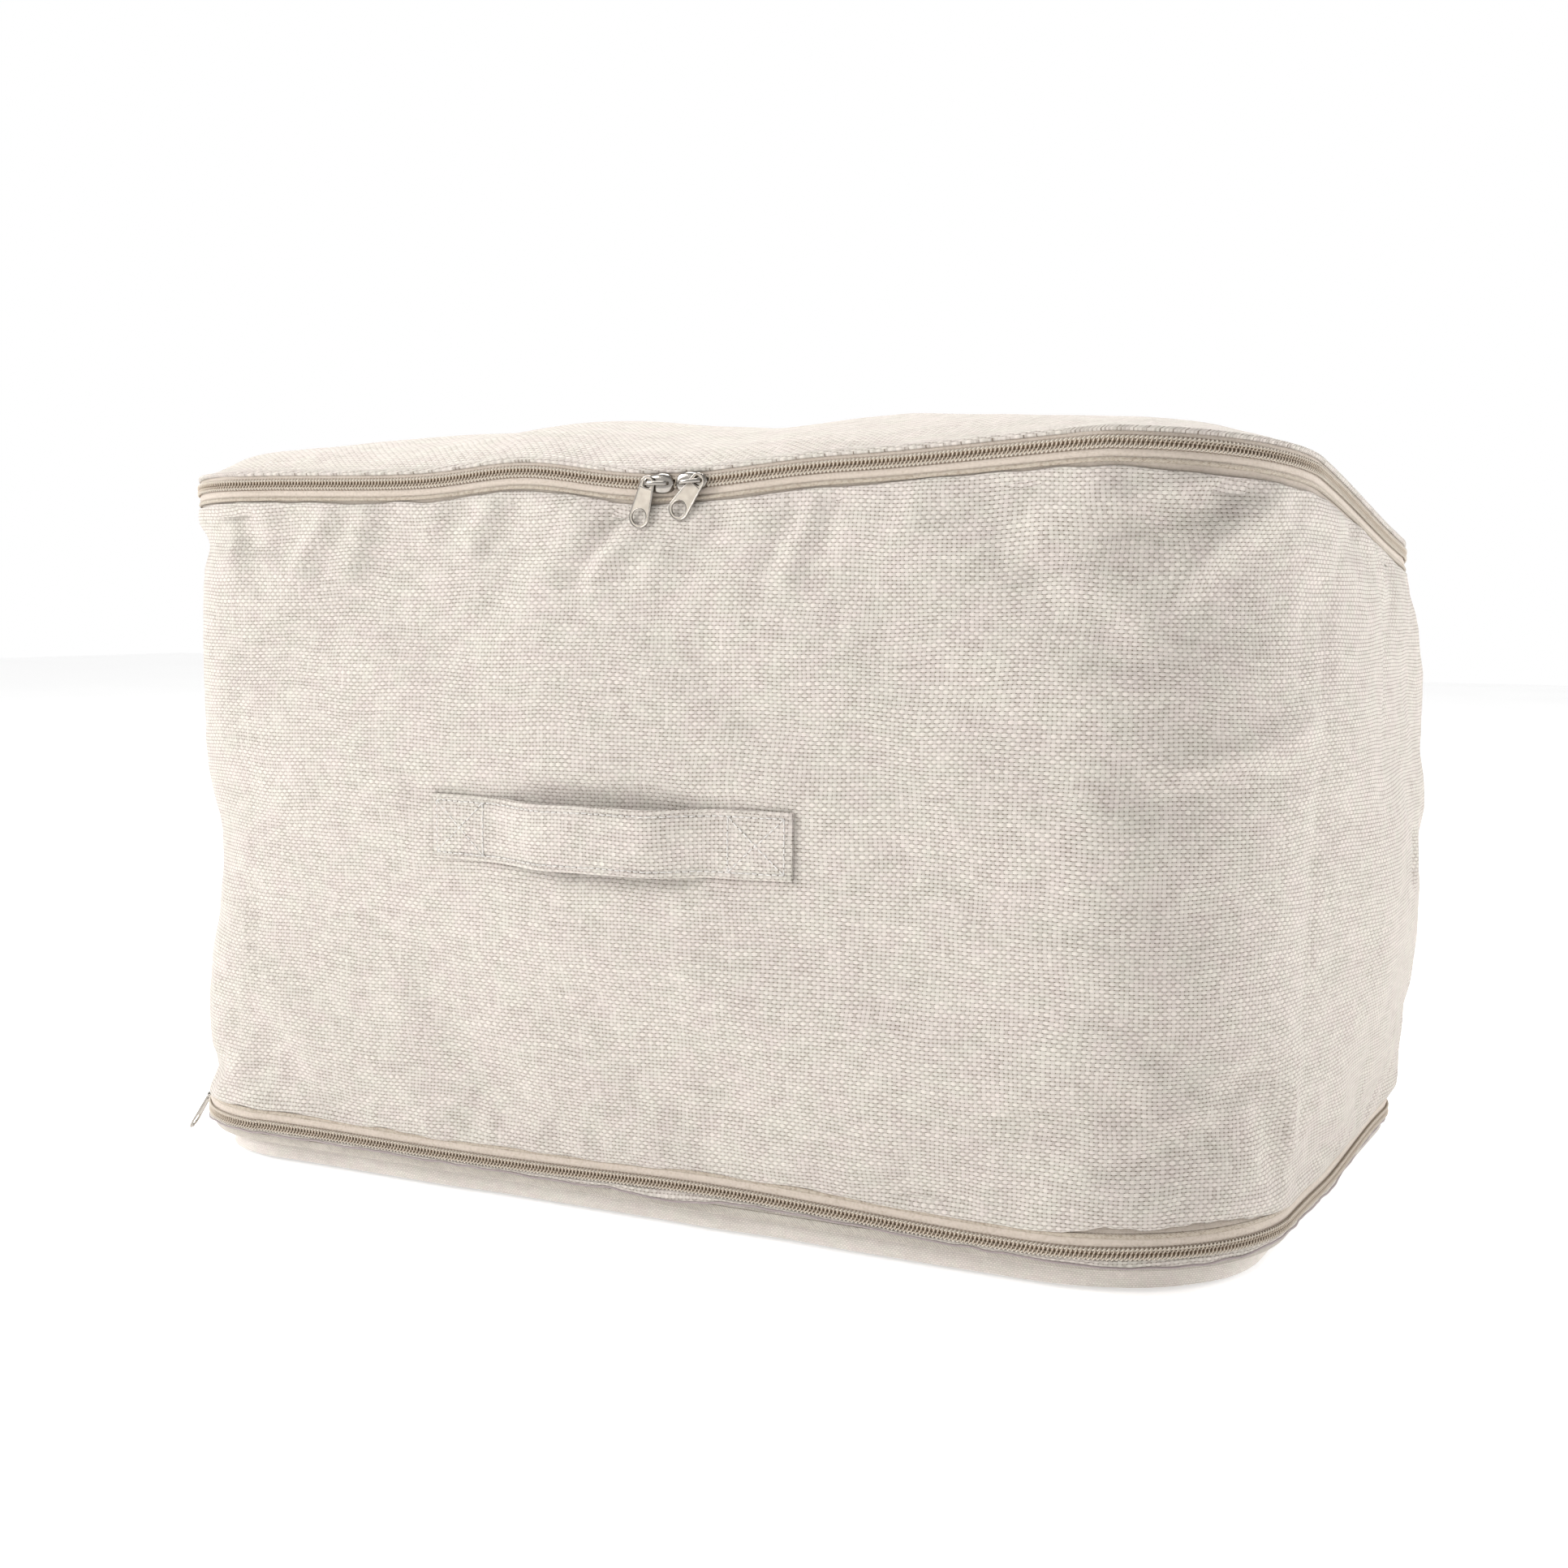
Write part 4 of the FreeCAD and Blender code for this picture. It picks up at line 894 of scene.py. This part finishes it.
def make_lid():
    rows, columns = 118, 150
    v = np.linspace(-1, 1, rows)
    v = 0.7 * v + 0.3 * np.sin(v * pi / 2)
    y = v * (TOP_DEPTH / 2 + LID_OVERHANG)

    def side(radius):
        away = np.maximum(np.abs(y) - (TOP_DEPTH / 2 - radius), 0)
        return TOP_LENGTH / 2 - radius + np.sqrt(np.maximum((radius + LID_OVERHANG) ** 2 - away ** 2, 0))
    left, right = -side(TOP_LEFT_RADIUS), side(RIGHT_RADIUS)
    h = np.linspace(0, 1, columns)
    h = 0.75 * h + 0.25 * (1 - np.cos(h * pi)) / 2
    x = left[:, None] + (right - left)[:, None] * h[None, :]
    yy = np.broadcast_to(y[:, None], x.shape)
    top = np.stack([x, yy, lid_surface(x, yy)], -1)

    def lengths(grid, middle):
        steps = np.linalg.norm(np.diff(grid, axis=0), axis=2)
        total = np.concatenate([np.zeros((1, grid.shape[1])), np.cumsum(steps, axis=0)])
        return total - total[middle]
    across = lengths(top.transpose(1, 0, 2), columns // 2).T
    down = lengths(top, rows // 2) + 700.0
    weave_uv = np.stack([across, down], -1).reshape(-1, 2)
    border = np.concatenate([np.arange(columns), columns * np.arange(1, rows) + columns - 1,
                             columns * (rows - 1) + np.arange(columns - 2, -1, -1),
                             columns * np.arange(rows - 2, 0, -1)])
    flat = top.reshape(-1, 3)
    edge = flat[border]
    d = edge[:, :2]
    limit = np.array([TOP_LENGTH / 2 - RIGHT_RADIUS, TOP_DEPTH / 2 - RIGHT_RADIUS])
    centre = np.clip(d, -limit, limit)
    inward = centre - d
    inward /= np.maximum(np.linalg.norm(inward, axis=1), 1e-6)[:, None]
    parts, uvs = [flat], [weave_uv]
    for move, drop in LID_HEM:
        ring = edge.copy()
        ring[:, :2] += inward * move
        ring[:, 2] += drop
        parts.append(ring)
        uvs.append(weave_uv[border] + 2.0)
    faces = [grid_faces(rows, columns)]
    previous = border
    for k in range(len(LID_HEM)):
        ring = len(flat) + k * len(border) + np.arange(len(border))
        faces.append(np.stack([previous, ring, np.roll(ring, -1), np.roll(previous, -1)], -1))
        previous = ring
    piece = mesh_object("lid_cloth", *map(np.concatenate, (parts, faces, uvs)))
    finish_piece(piece, "lid", "wall_cloth", cloth, "lid_panel")
    inner_rows, inner_columns = slice(2, rows - 2, 3), slice(2, columns - 2, 3)
    under = top[inner_rows, inner_columns].copy()
    under[..., 2] -= LINING_GAP
    lining_piece = grid_object("lid_lining", under, under[..., :2])
    finish_piece(lining_piece, "lid", "wall_cloth", lining)


# ---- handle

STITCH_RADIUS, STITCH_SIDES, STITCH_PITCH = 0.36, 6, 3.4
STRAP_THICK, STRAP_OUT, STRAP_BOW, STRAP_SAG = 2.7, 1.9, 8.0, 1.8
STRAP_WEAVE_AT = (300.4, 40.7)
STRAP_EDGE = ((1.5, 1.1, 0.35), (3.1, 0.7, -0.5))  # the rolled edge, and the dip along its stitches
HOLE_RADIUS, HOLE_SHARE = 0.34, 0.55


def stitch_mesh(starts, ends, lifts):
    """Small rounded stitches from start to end, bowed outwards by lift."""
    along_share = np.array([0.0, 0.12, 0.5, 0.88, 1.0])
    thick = np.array([0.15, 0.75, 1.0, 0.75, 0.15]) * STITCH_RADIUS
    step = ends - starts
    out_unit = unit(lifts)
    side_unit = np.cross(unit(step), out_unit)
    angle = full_turn(STITCH_SIDES)
    line = starts[:, None, :] + step[:, None, :] * along_share[None, :, None]
    line = line + lifts[:, None, :] * (np.sin(pi * along_share))[None, :, None]
    ring = (out_unit[:, None, None, :] * np.cos(angle)[None, None, :, None]
            + side_unit[:, None, None, :] * np.sin(angle)[None, None, :, None])
    points = line[:, :, None, :] + ring * thick[None, :, None, None]
    one = grid_faces(len(along_share), STITCH_SIDES, close_columns=True)
    faces = one[None] + (np.arange(len(starts)) * len(along_share) * STITCH_SIDES)[:, None, None]
    return points.reshape(-1, 3), faces.reshape(-1, 4)


def strap_point(x, w, out):
    """On the strap: x along it from its middle, w across it, out from the wall's cloth."""
    x, w, out = spread(x, w, out)
    run = HANDLE_LENGTH / 2 - HANDLE_PATCH
    free = ease(1.6 * (1 - np.abs(x) / run)) * (np.abs(x) < run)
    sag = -STRAP_SAG * free + 0.5 * noise(x, w * 0.2, 60, 60, 41)
    bow = free * (STRAP_BOW + 0.9 * w / 16)
    u = straight_turn(0, 0, HANDLE_X + x, np.full_like(x, HANDLE_Z))
    return wall_point(u, HANDLE_Z + w + sag, STRAP_OUT + bow + out)


def seam_path(start, end):
    """The ends of each stitch along a straight run."""
    start, way = np.array(start), np.array(end) - start
    count = max(int(round(np.hypot(*way) / STITCH_PITCH)), 1)
    return [(start + way * k / count, start + way * (k + 1) / count) for k in range(count)]


def make_handle():
    half, wide, thick = HANDLE_LENGTH / 2, HANDLE_WIDTH / 2, STRAP_THICK
    x = np.linspace(-half, half, 121)
    w = np.concatenate([np.linspace(-wide, -wide + 1, 4), np.linspace(-wide + 1.6, wide - 1.6, 40),
                        np.linspace(wide - 1, wide, 4)])
    from_edge = wide - np.abs(w)
    face = thick + bumps(from_edge, STRAP_EDGE) - 1.1 * np.exp(-from_edge / 0.35)
    section = [(a, b) for a, b in zip(w, face)]
    section += [(a, 0.15 + 0.9 * np.exp(-(wide - abs(a)) / 0.35)) for a in w[::-1]]
    ww, oo = np.array(section).T
    end = np.minimum(half - np.abs(x), 3.0)
    end_dip = -0.9 * np.exp(-end / 0.4) + 0.3 * np.exp(-((end - 1.4) / 0.9) ** 2)
    dents = 0.25 * noise(x[:, None], ww[None, :], 14, 9, 42)
    is_face = (np.arange(len(ww)) < len(w))[None, :]
    out = oo[None, :] + np.where(is_face, end_dip[:, None] + dents, 0.0)
    points = strap_point(x[:, None], ww[None, :], out)
    uv = uv_grid(x[:, None] + STRAP_WEAVE_AT[0], ww[None, :] + STRAP_WEAVE_AT[1])
    faces = [grid_faces(len(x), len(ww), close_columns=True)]
    near_side = np.arange(len(w))
    far_side = 2 * len(w) - 1 - near_side
    cap = np.stack([near_side[:-1], near_side[1:], far_side[1:], far_side[:-1]], -1)
    faces += [cap, cap[:, ::-1] + (len(x) - 1) * len(ww)]
    strap = mesh_object("handle_strap", points, np.concatenate(faces), uv)
    finish_piece(strap, "walls", "wall_cloth", cloth, "front_handle")
    seam = wide - 3.1
    runs = [((-half + 3, side * seam), (half - 3, side * seam)) for side in (-1, 1)]
    for sign in (-1, 1):
        near, far = sign * (half - 3.5), sign * (half - HANDLE_PATCH + 4)
        runs += [((near, -seam), (near, seam)), ((far, -seam), (far, seam)),
                 ((near, -seam), (far, seam)), ((near, seam), (far, -seam))]
    stitches = [stitch for run in runs for stitch in seam_path(*run)]
    random = np.random.default_rng(5)
    a = np.array([s[0] for s in stitches]) + random.normal(0, 0.12, (len(stitches), 2))
    b = np.array([s[1] for s in stitches]) + random.normal(0, 0.12, (len(stitches), 2))
    gap = (b - a) * 0.06
    depth = thick - 0.25
    starts, ends = strap_point(*(a + gap).T, depth), strap_point(*(b - gap).T, depth)
    middle = ((a + b) / 2).T
    lifts = strap_point(*middle, depth + 0.45) - strap_point(*middle, depth)
    points, faces = stitch_mesh(starts, ends, lifts)
    sewn = mesh_object("handle_stitches", points, faces)
    finish_piece(sewn, "walls", "wall_cloth", thread)
    # painted shade: small dark hexagons on the strap stand for the shade in the needle holes
    at = a[random.uniform(size=len(a)) < HOLE_SHARE]
    angle = full_turn(6)
    x, w = at[:, 0:1] + HOLE_RADIUS * np.cos(angle), at[:, 1:2] + HOLE_RADIUS * np.sin(angle)
    points = strap_point(x, w, depth + 0.3)
    hexes = np.arange(len(at) * 6).reshape(-1, 6)
    holes = mesh_object("handle_needle_holes", points, hexes[:, ::-1])
    finish_piece(holes, "walls", "wall_cloth", needle_hole_shade)


# ---- metal pieces

def solid_from_outlines(name, outlines, thick, bevel):
    """A flat plate from closed outlines; the later ones are holes. Made in X and Z, outwards along -Y."""
    curve = bpy.data.curves.new(name, "CURVE")
    curve.dimensions, curve.fill_mode = "2D", "BOTH"
    curve.extrude, curve.bevel_depth, curve.bevel_resolution = thick / 2 - bevel, bevel, 2
    for outline in outlines:
        spline = curve.splines.new("POLY")
        spline.points.add(len(outline) - 1)
        for point, (x, y) in zip(spline.points, outline):
            point.co = (x, y, 0, 1)
        spline.use_cyclic_u = True
    holder = add_object(name, curve)
    bpy.context.view_layer.update()
    mesh = bpy.data.meshes.new_from_object(holder.evaluated_get(bpy.context.evaluated_depsgraph_get()))
    bpy.data.objects.remove(holder)
    bpy.data.curves.remove(curve)
    mesh.materials.clear()
    points = np.zeros(len(mesh.vertices) * 3)
    mesh.vertices.foreach_get("co", points)
    points = points.reshape(-1, 3)
    upright = np.stack([points[:, 0], -points[:, 2], points[:, 1]], -1) * MM
    mesh.vertices.foreach_set("co", upright.ravel())
    mesh.polygons.foreach_set("use_smooth", np.full(len(mesh.polygons), True))
    mesh.set_sharp_from_angle(angle=radians(40))
    return add_object(name, mesh)


def sweep(name, line, section, closed=False):
    """A section (list of sideways, outward) swept along a line that lies in one plane with normal Z or Y."""
    line = np.asarray(line, float)
    tangent = np.roll(line, -1, 0) - np.roll(line, 1, 0) if closed else np.gradient(line, axis=0)
    tangent = unit(tangent)
    flat_axis = np.array([0, 0, 1.0]) if np.ptp(line[:, 2]) < 1e-6 else np.array([0, 1.0, 0])
    outward = np.cross(tangent, flat_axis)
    points = (line[:, None, :] + flat_axis[None, None, :] * section[None, :, 0:1]
              + outward[:, None, :] * section[None, :, 1:2])
    return grid_object(name, points, close_rows=closed, close_columns=True)


def oval(half_a, half_b, count=10, power=2.0):
    angle = full_turn(count)
    c, s = (np.sign(part) * np.abs(part) ** (2 / power) for part in (np.cos(angle), np.sin(angle)))
    return np.stack([half_a * c, half_b * s], -1)


def moved(piece, matrix):
    """Applies a placement in millimetres to the piece's own mesh."""
    matrix = matrix.copy()
    matrix.translation = matrix.translation * MM
    piece.data.transform(matrix)
    if matrix.determinant() < 0:
        piece.data.flip_normals()


TAB_TOP_R, TAB_END_R, TAB_REACH, TAB_HOLE_R = 3.9, 5.7, 16.2, 3.8
TAB_WINDOW = (2.3, 2.2)
TAB_PIVOT, TAB_STAND = 4.5, 4.9
LEFT_TAB_TILT, RIGHT_TAB_TILT, BOTTOM_TAB_TILT = 15, 42, -30
SLIDER_HALF = 8
TOP_BAIL, BOTTOM_BAIL = 7.3, 6.7


def tab_outline(inset):
    top, end = TAB_TOP_R - inset, TAB_END_R - inset
    lean = (TAB_END_R - TAB_TOP_R) / TAB_REACH
    upper = [(top * cos(a), top * sin(a)) for a in np.linspace(-lean, pi + lean, 14)]
    lower = [(end * cos(a), -TAB_REACH + end * sin(a)) for a in np.linspace(pi + lean, 2 * pi - lean, 14)]
    return upper + lower


def tab_parts(name):
    """A pull tab hanging from the origin: a face with a window and a hole, inside a raised rim."""
    circle = full_turn(36)
    hole = [(TAB_HOLE_R * cos(a), -TAB_REACH + TAB_HOLE_R * sin(a)) for a in -circle]
    window = oval(*TAB_WINDOW, 28, 4.0)[::-1]
    face = solid_from_outlines(name + "_face", [tab_outline(0.4), window, hole], 0.7, 0.12)
    rim_line = np.array([(x, 0.0, z) for x, z in tab_outline(0.5)])
    rim = sweep(name + "_rim", rim_line, oval(0.6, 0.5), closed=True)
    eye = TAB_HOLE_R + 0.15
    ring_line = np.array([(eye * cos(a), -0.2, -TAB_REACH + eye * sin(a)) for a in circle])
    ring = sweep(name + "_eye_rim", ring_line, oval(0.36, 0.3, 8), closed=True)
    sill_line = np.array([(x, -0.3, -2.5) for x in np.linspace(-3.1, 3.1, 6)])
    sill = sweep(name + "_window_sill", sill_line, oval(0.3, 0.25, 8))
    return [face, rim, ring, sill]


def slider_parts(name, bail_top):
    """Slider body with side flanges, lying along X, and the arched bail that holds the tab."""
    half = ((0.0, 4.0), (2.0, 3.95), (3.9, 3.8), (4.6, 3.3), (4.8, 2.4), (4.75, 0.7), (4.1, 0.7), (4.0, 2.7))
    other = [(-a, b) for a, b in half[1:]]
    section = np.array([*other[4::-1], *half, (0.0, 3.1), *other[:4:-1]])
    rows = []
    for x in np.linspace(-SLIDER_HALF, SLIDER_HALF, 25):
        end = max(1 - abs(x / SLIDER_HALF) ** 4, 0.0) ** 0.5
        width = (0.82 + 0.18 * ease((x + 5) / 7)) * (0.25 + 0.75 * end)
        drop = 0.7 * (1 - end) * (section[:, 1] > 2)
        rows.append(np.stack([np.full(len(section), x), drop - section[:, 1], section[:, 0] * width], -1))
    body = grid_object(name + "_body", np.array(rows), close_columns=True)
    arch = [(6.0 * np.sign(cos(a)) * abs(cos(a)) ** (2 / 2.4),
             -(3.5 + (bail_top - 3.5) * abs(sin(a)) ** (2 / 2.4)), 0.0)
            for a in np.linspace(0.02, pi - 0.02, 33)]
    bail = sweep(name + "_bail", np.array(arch), oval(0.95, 0.5, 12, 3.0))
    return [body, bail]


def place_parts(parts, placement, body, node, first_metal=metal):
    """Moves the parts into place and ties them to their body; the first one stands for the CAD node."""
    for k, part in enumerate(parts):
        moved(part, placement)
        finish_piece(part, body, "nickel", metal if k else first_metal, *([] if k else [node]))


def make_sliders():
    settings = (("left", LEFT_SLIDER_X, -LEFT_RISE, 1, LEFT_TAB_TILT),
                ("right", RIGHT_SLIDER_X, RIGHT_RISE, -1, RIGHT_TAB_TILT))
    for side, x, slope, sign, tilt in settings:
        flat_z = FRONT_LOW_Z + DIP_RISE / 2 * (1 + (x - SLIDERS_MIDDLE_X) / DIP_HALF)
        place = Matrix.Translation((x, -TOP_DEPTH / 2, flat_z)) @ Matrix.Rotation(-slope, 4, "Y")
        flip = Matrix.Diagonal((sign, 1, 1, 1))
        place_parts(slider_parts(side + "_slider", TOP_BAIL), place @ flip,
                    side + "_slider_body", side + "_slider")
        hang = Matrix.Translation((-sign * TAB_PIVOT, -TAB_STAND, 0)) @ Matrix.Rotation(radians(tilt), 4, "Y")
        place_parts(tab_parts(side + "_tab"), place @ hang, side + "_tab_body", side + "_pull_tab", tab_metal)
    turn, reach = radians(BOTTOM_SLIDER_TURN), BASE_LEFT_RADIUS - BOTTOM_SLIDER_SET_IN
    x = BASE_LEFT_RADIUS - BASE_LENGTH / 2 - reach * cos(turn)
    y = BASE_LEFT_RADIUS - BASE_DEPTH / 2 - reach * sin(turn)
    place = Matrix.Translation((x, y, BASE_CHAIN_Z)) @ Matrix.Rotation(turn - pi / 2, 4, "Z")
    place_parts(slider_parts("bottom_slider", BOTTOM_BAIL), place @ Matrix.Diagonal((-1, 1, 1, 1)),
                "bottom_slider_body", "bottom_slider")
    hang = (Matrix.Translation((0, -6.0, 0)) @ Matrix.Rotation(radians(BOTTOM_TAB_TILT), 4, "X")
            @ Matrix.Translation((0, 0, -1.4)))
    place_parts(tab_parts("bottom_tab"), place @ hang, "bottom_tab_body", "bottom_pull_tab", tab_metal)


def lathe(name, profile, centre, count=40):
    """Turned about an axis along X: profile is a closed list of (x, radius)."""
    angle = full_turn(count)
    x, r = np.array(profile, float).T
    points = np.stack(np.broadcast_arrays(centre[0] + x[:, None], centre[1] + r[:, None] * np.cos(angle),
                                          centre[2] + r[:, None] * np.sin(angle)), -1)
    return grid_object(name, points, close_rows=True, close_columns=True)


def make_eyelet():
    centre = (EYELET_FACE_X, EYELET_Y, EYELET_Z)
    front = ((-3.0, 4.2), (0.5, 4.2), (1.0, 4.35), (1.35, 4.8), (1.4, 5.4), (1.3, 6.1), (0.9, 6.7), (0.45, 7.0),
             (0.15, 6.8), (0.5, 6.0), (0.6, 5.0), (-3.0, 4.8))
    finish_piece(lathe("eyelet_ring", front, centre), "walls", "nickel", metal, "eyelet_flange")
    back = ((-2.2, 4.95), (-2.2, 6.8), (-2.5, 7.0), (-3.0, 6.7), (-3.3, 5.8), (-3.2, 4.95))
    finish_piece(lathe("eyelet_back_ring", back, centre), "walls", "nickel", metal, "eyelet_washer")


# ---- inner cloth and bindings

PIPING_R, GUSSET_IN = 1.8, 13.2


def make_inner():
    u = along(-4, 4, 6.0, BASE_MARKS)
    s = distance(u, BASE_MARKS)
    heights = np.linspace(gusset_low[2], gusset_high[2], 26)
    rows = [ring_point(u, h, -GUSSET_IN + 0.9 * noise(s, s * 0 + h, 40, 9, 51) + 0.5 * sin(h / 3.1), False)
            for h in heights]
    uv = uv_grid(s[None, :], heights[:, None])
    gusset = grid_object("expansion_gusset_cloth", np.stack(rows), uv)
    finish_piece(gusset, "base", "wall_cloth", lining, "expansion_gusset")
    x = np.linspace(hinge_low[0], hinge_high[0], 160)
    wobble = 0.35 * noise(x, x, 25, 60, 52)
    line = np.stack([x, np.full_like(x, HINGE_Y) + wobble, np.full_like(x, HINGE_Z)], -1)
    angle = full_turn(12)
    ring = np.stack([np.zeros(12), PIPING_R * np.cos(angle), PIPING_R * np.sin(angle)], -1)
    points = line[:, None, :] + ring[None]
    uv = uv_grid(x[:, None], (PIPING_R * angle)[None, :])
    piping = grid_object("hinge_piping", points, uv, close_columns=True)
    finish_piece(piping, "walls", "binding_tape", binding, "hinge_binding")


# ---- camera, floor and light

WORLD_LOW, WORLD_HIGH = 1.0, 0.42
KEY_POWER, SIDE_POWER, TOP_POWER = 74.0, 42.0, 72.0
FLOOR_GLOW = 0.52
LIGHTS = (("key_softbox", (-2.2, -1.9, 1.5), 1.5, KEY_POWER),
          ("side_softbox", (2.3, 1.2, 1.1), 1.4, SIDE_POWER),
          ("top_softbox", (-0.6, 0.2, 2.6), 1.6, TOP_POWER))
LIGHTS_AIM = (0, 0, 0.15)
CAMERA_AT = (0.5131, -1.0465, 0.306)
CAMERA_YAW, CAMERA_PITCH, CAMERA_ROLL = radians(26.81), radians(5.17), radians(0.37)
CAMERA_LENS = 47.62


def make_stage():
    bpy.ops.mesh.primitive_plane_add(size=14, location=(0, 0, -0.0002))
    floor = bpy.context.object
    floor.name = "floor"
    paper = Shader("floor paper", roughness=0.9, specular=0.1)
    shade = paper.ramp(paper.object_noise(3.0), (0.3, (0.88, 0.88, 0.88)), (0.7, (0.90, 0.90, 0.90)))
    paper.colour(shade)
    paper.put(shade, paper.surface.inputs["Emission Color"])
    paper.surface.inputs["Emission Strength"].default_value = FLOOR_GLOW
    floor.data.materials.append(paper.material)
    world = bpy.data.worlds.new("studio")
    bpy.context.scene.world = world
    world.use_nodes = True
    tree = world.node_tree
    way = tree.nodes.new("ShaderNodeSeparateXYZ")
    tree.links.new(tree.nodes.new("ShaderNodeTexCoord").outputs["Generated"], way.inputs[0])
    shade = tree.nodes.new("ShaderNodeValToRGB")
    for element, (place, level) in zip(shade.color_ramp.elements, ((0.30, WORLD_LOW), (0.55, WORLD_HIGH))):
        element.position = place
        element.color = (level, level, level, 1.0)
    tree.links.new(way.outputs[2], shade.inputs[0])
    tree.links.new(shade.outputs[0], tree.nodes["Background"].inputs[0])
    tree.nodes["Background"].inputs[1].default_value = 1.0
    for name, place, size, power in LIGHTS:
        lamp = bpy.data.lights.new(name, "AREA")
        lamp.shape, lamp.size, lamp.energy = "DISK", size, power
        holder = add_object(name, lamp)
        holder.location = place
        holder.rotation_euler = (Vector(LIGHTS_AIM) - Vector(place)).to_track_quat("-Z", "Y").to_euler()
    bpy.context.scene.view_settings.view_transform = "Standard"


def make_camera():
    yaw, pitch, roll = CAMERA_YAW, CAMERA_PITCH, CAMERA_ROLL
    ahead = Vector((-sin(yaw) * cos(pitch), cos(yaw) * cos(pitch), -sin(pitch)))
    level = Vector((cos(yaw), sin(yaw), 0))
    up = level.cross(ahead)
    right = level * cos(roll) + up * sin(roll)
    up = up * cos(roll) - level * sin(roll)
    camera = add_object("camera", bpy.data.cameras.new("camera"))
    camera.data.lens, camera.data.sensor_width = CAMERA_LENS, 36.0
    camera.data.clip_start, camera.data.clip_end = 0.05, 50.0
    turned = Matrix((right, up, -ahead)).transposed().to_4x4()
    camera.matrix_world = Matrix.Translation(CAMERA_AT) @ turned
    bpy.context.scene.camera = camera


make_camera()
make_stage()
make_walls()
make_top_zip()
make_bottom_zip()
make_base()
make_lid()
make_handle()
make_sliders()
make_eyelet()
make_inner()
for node in ("base_binding", "wall_bottom_binding", "wall_top_binding", "lid_binding", "corner_seam_bindings"):
    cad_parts[node].data.materials.clear()
    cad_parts[node].data.materials.append(plain_binding)
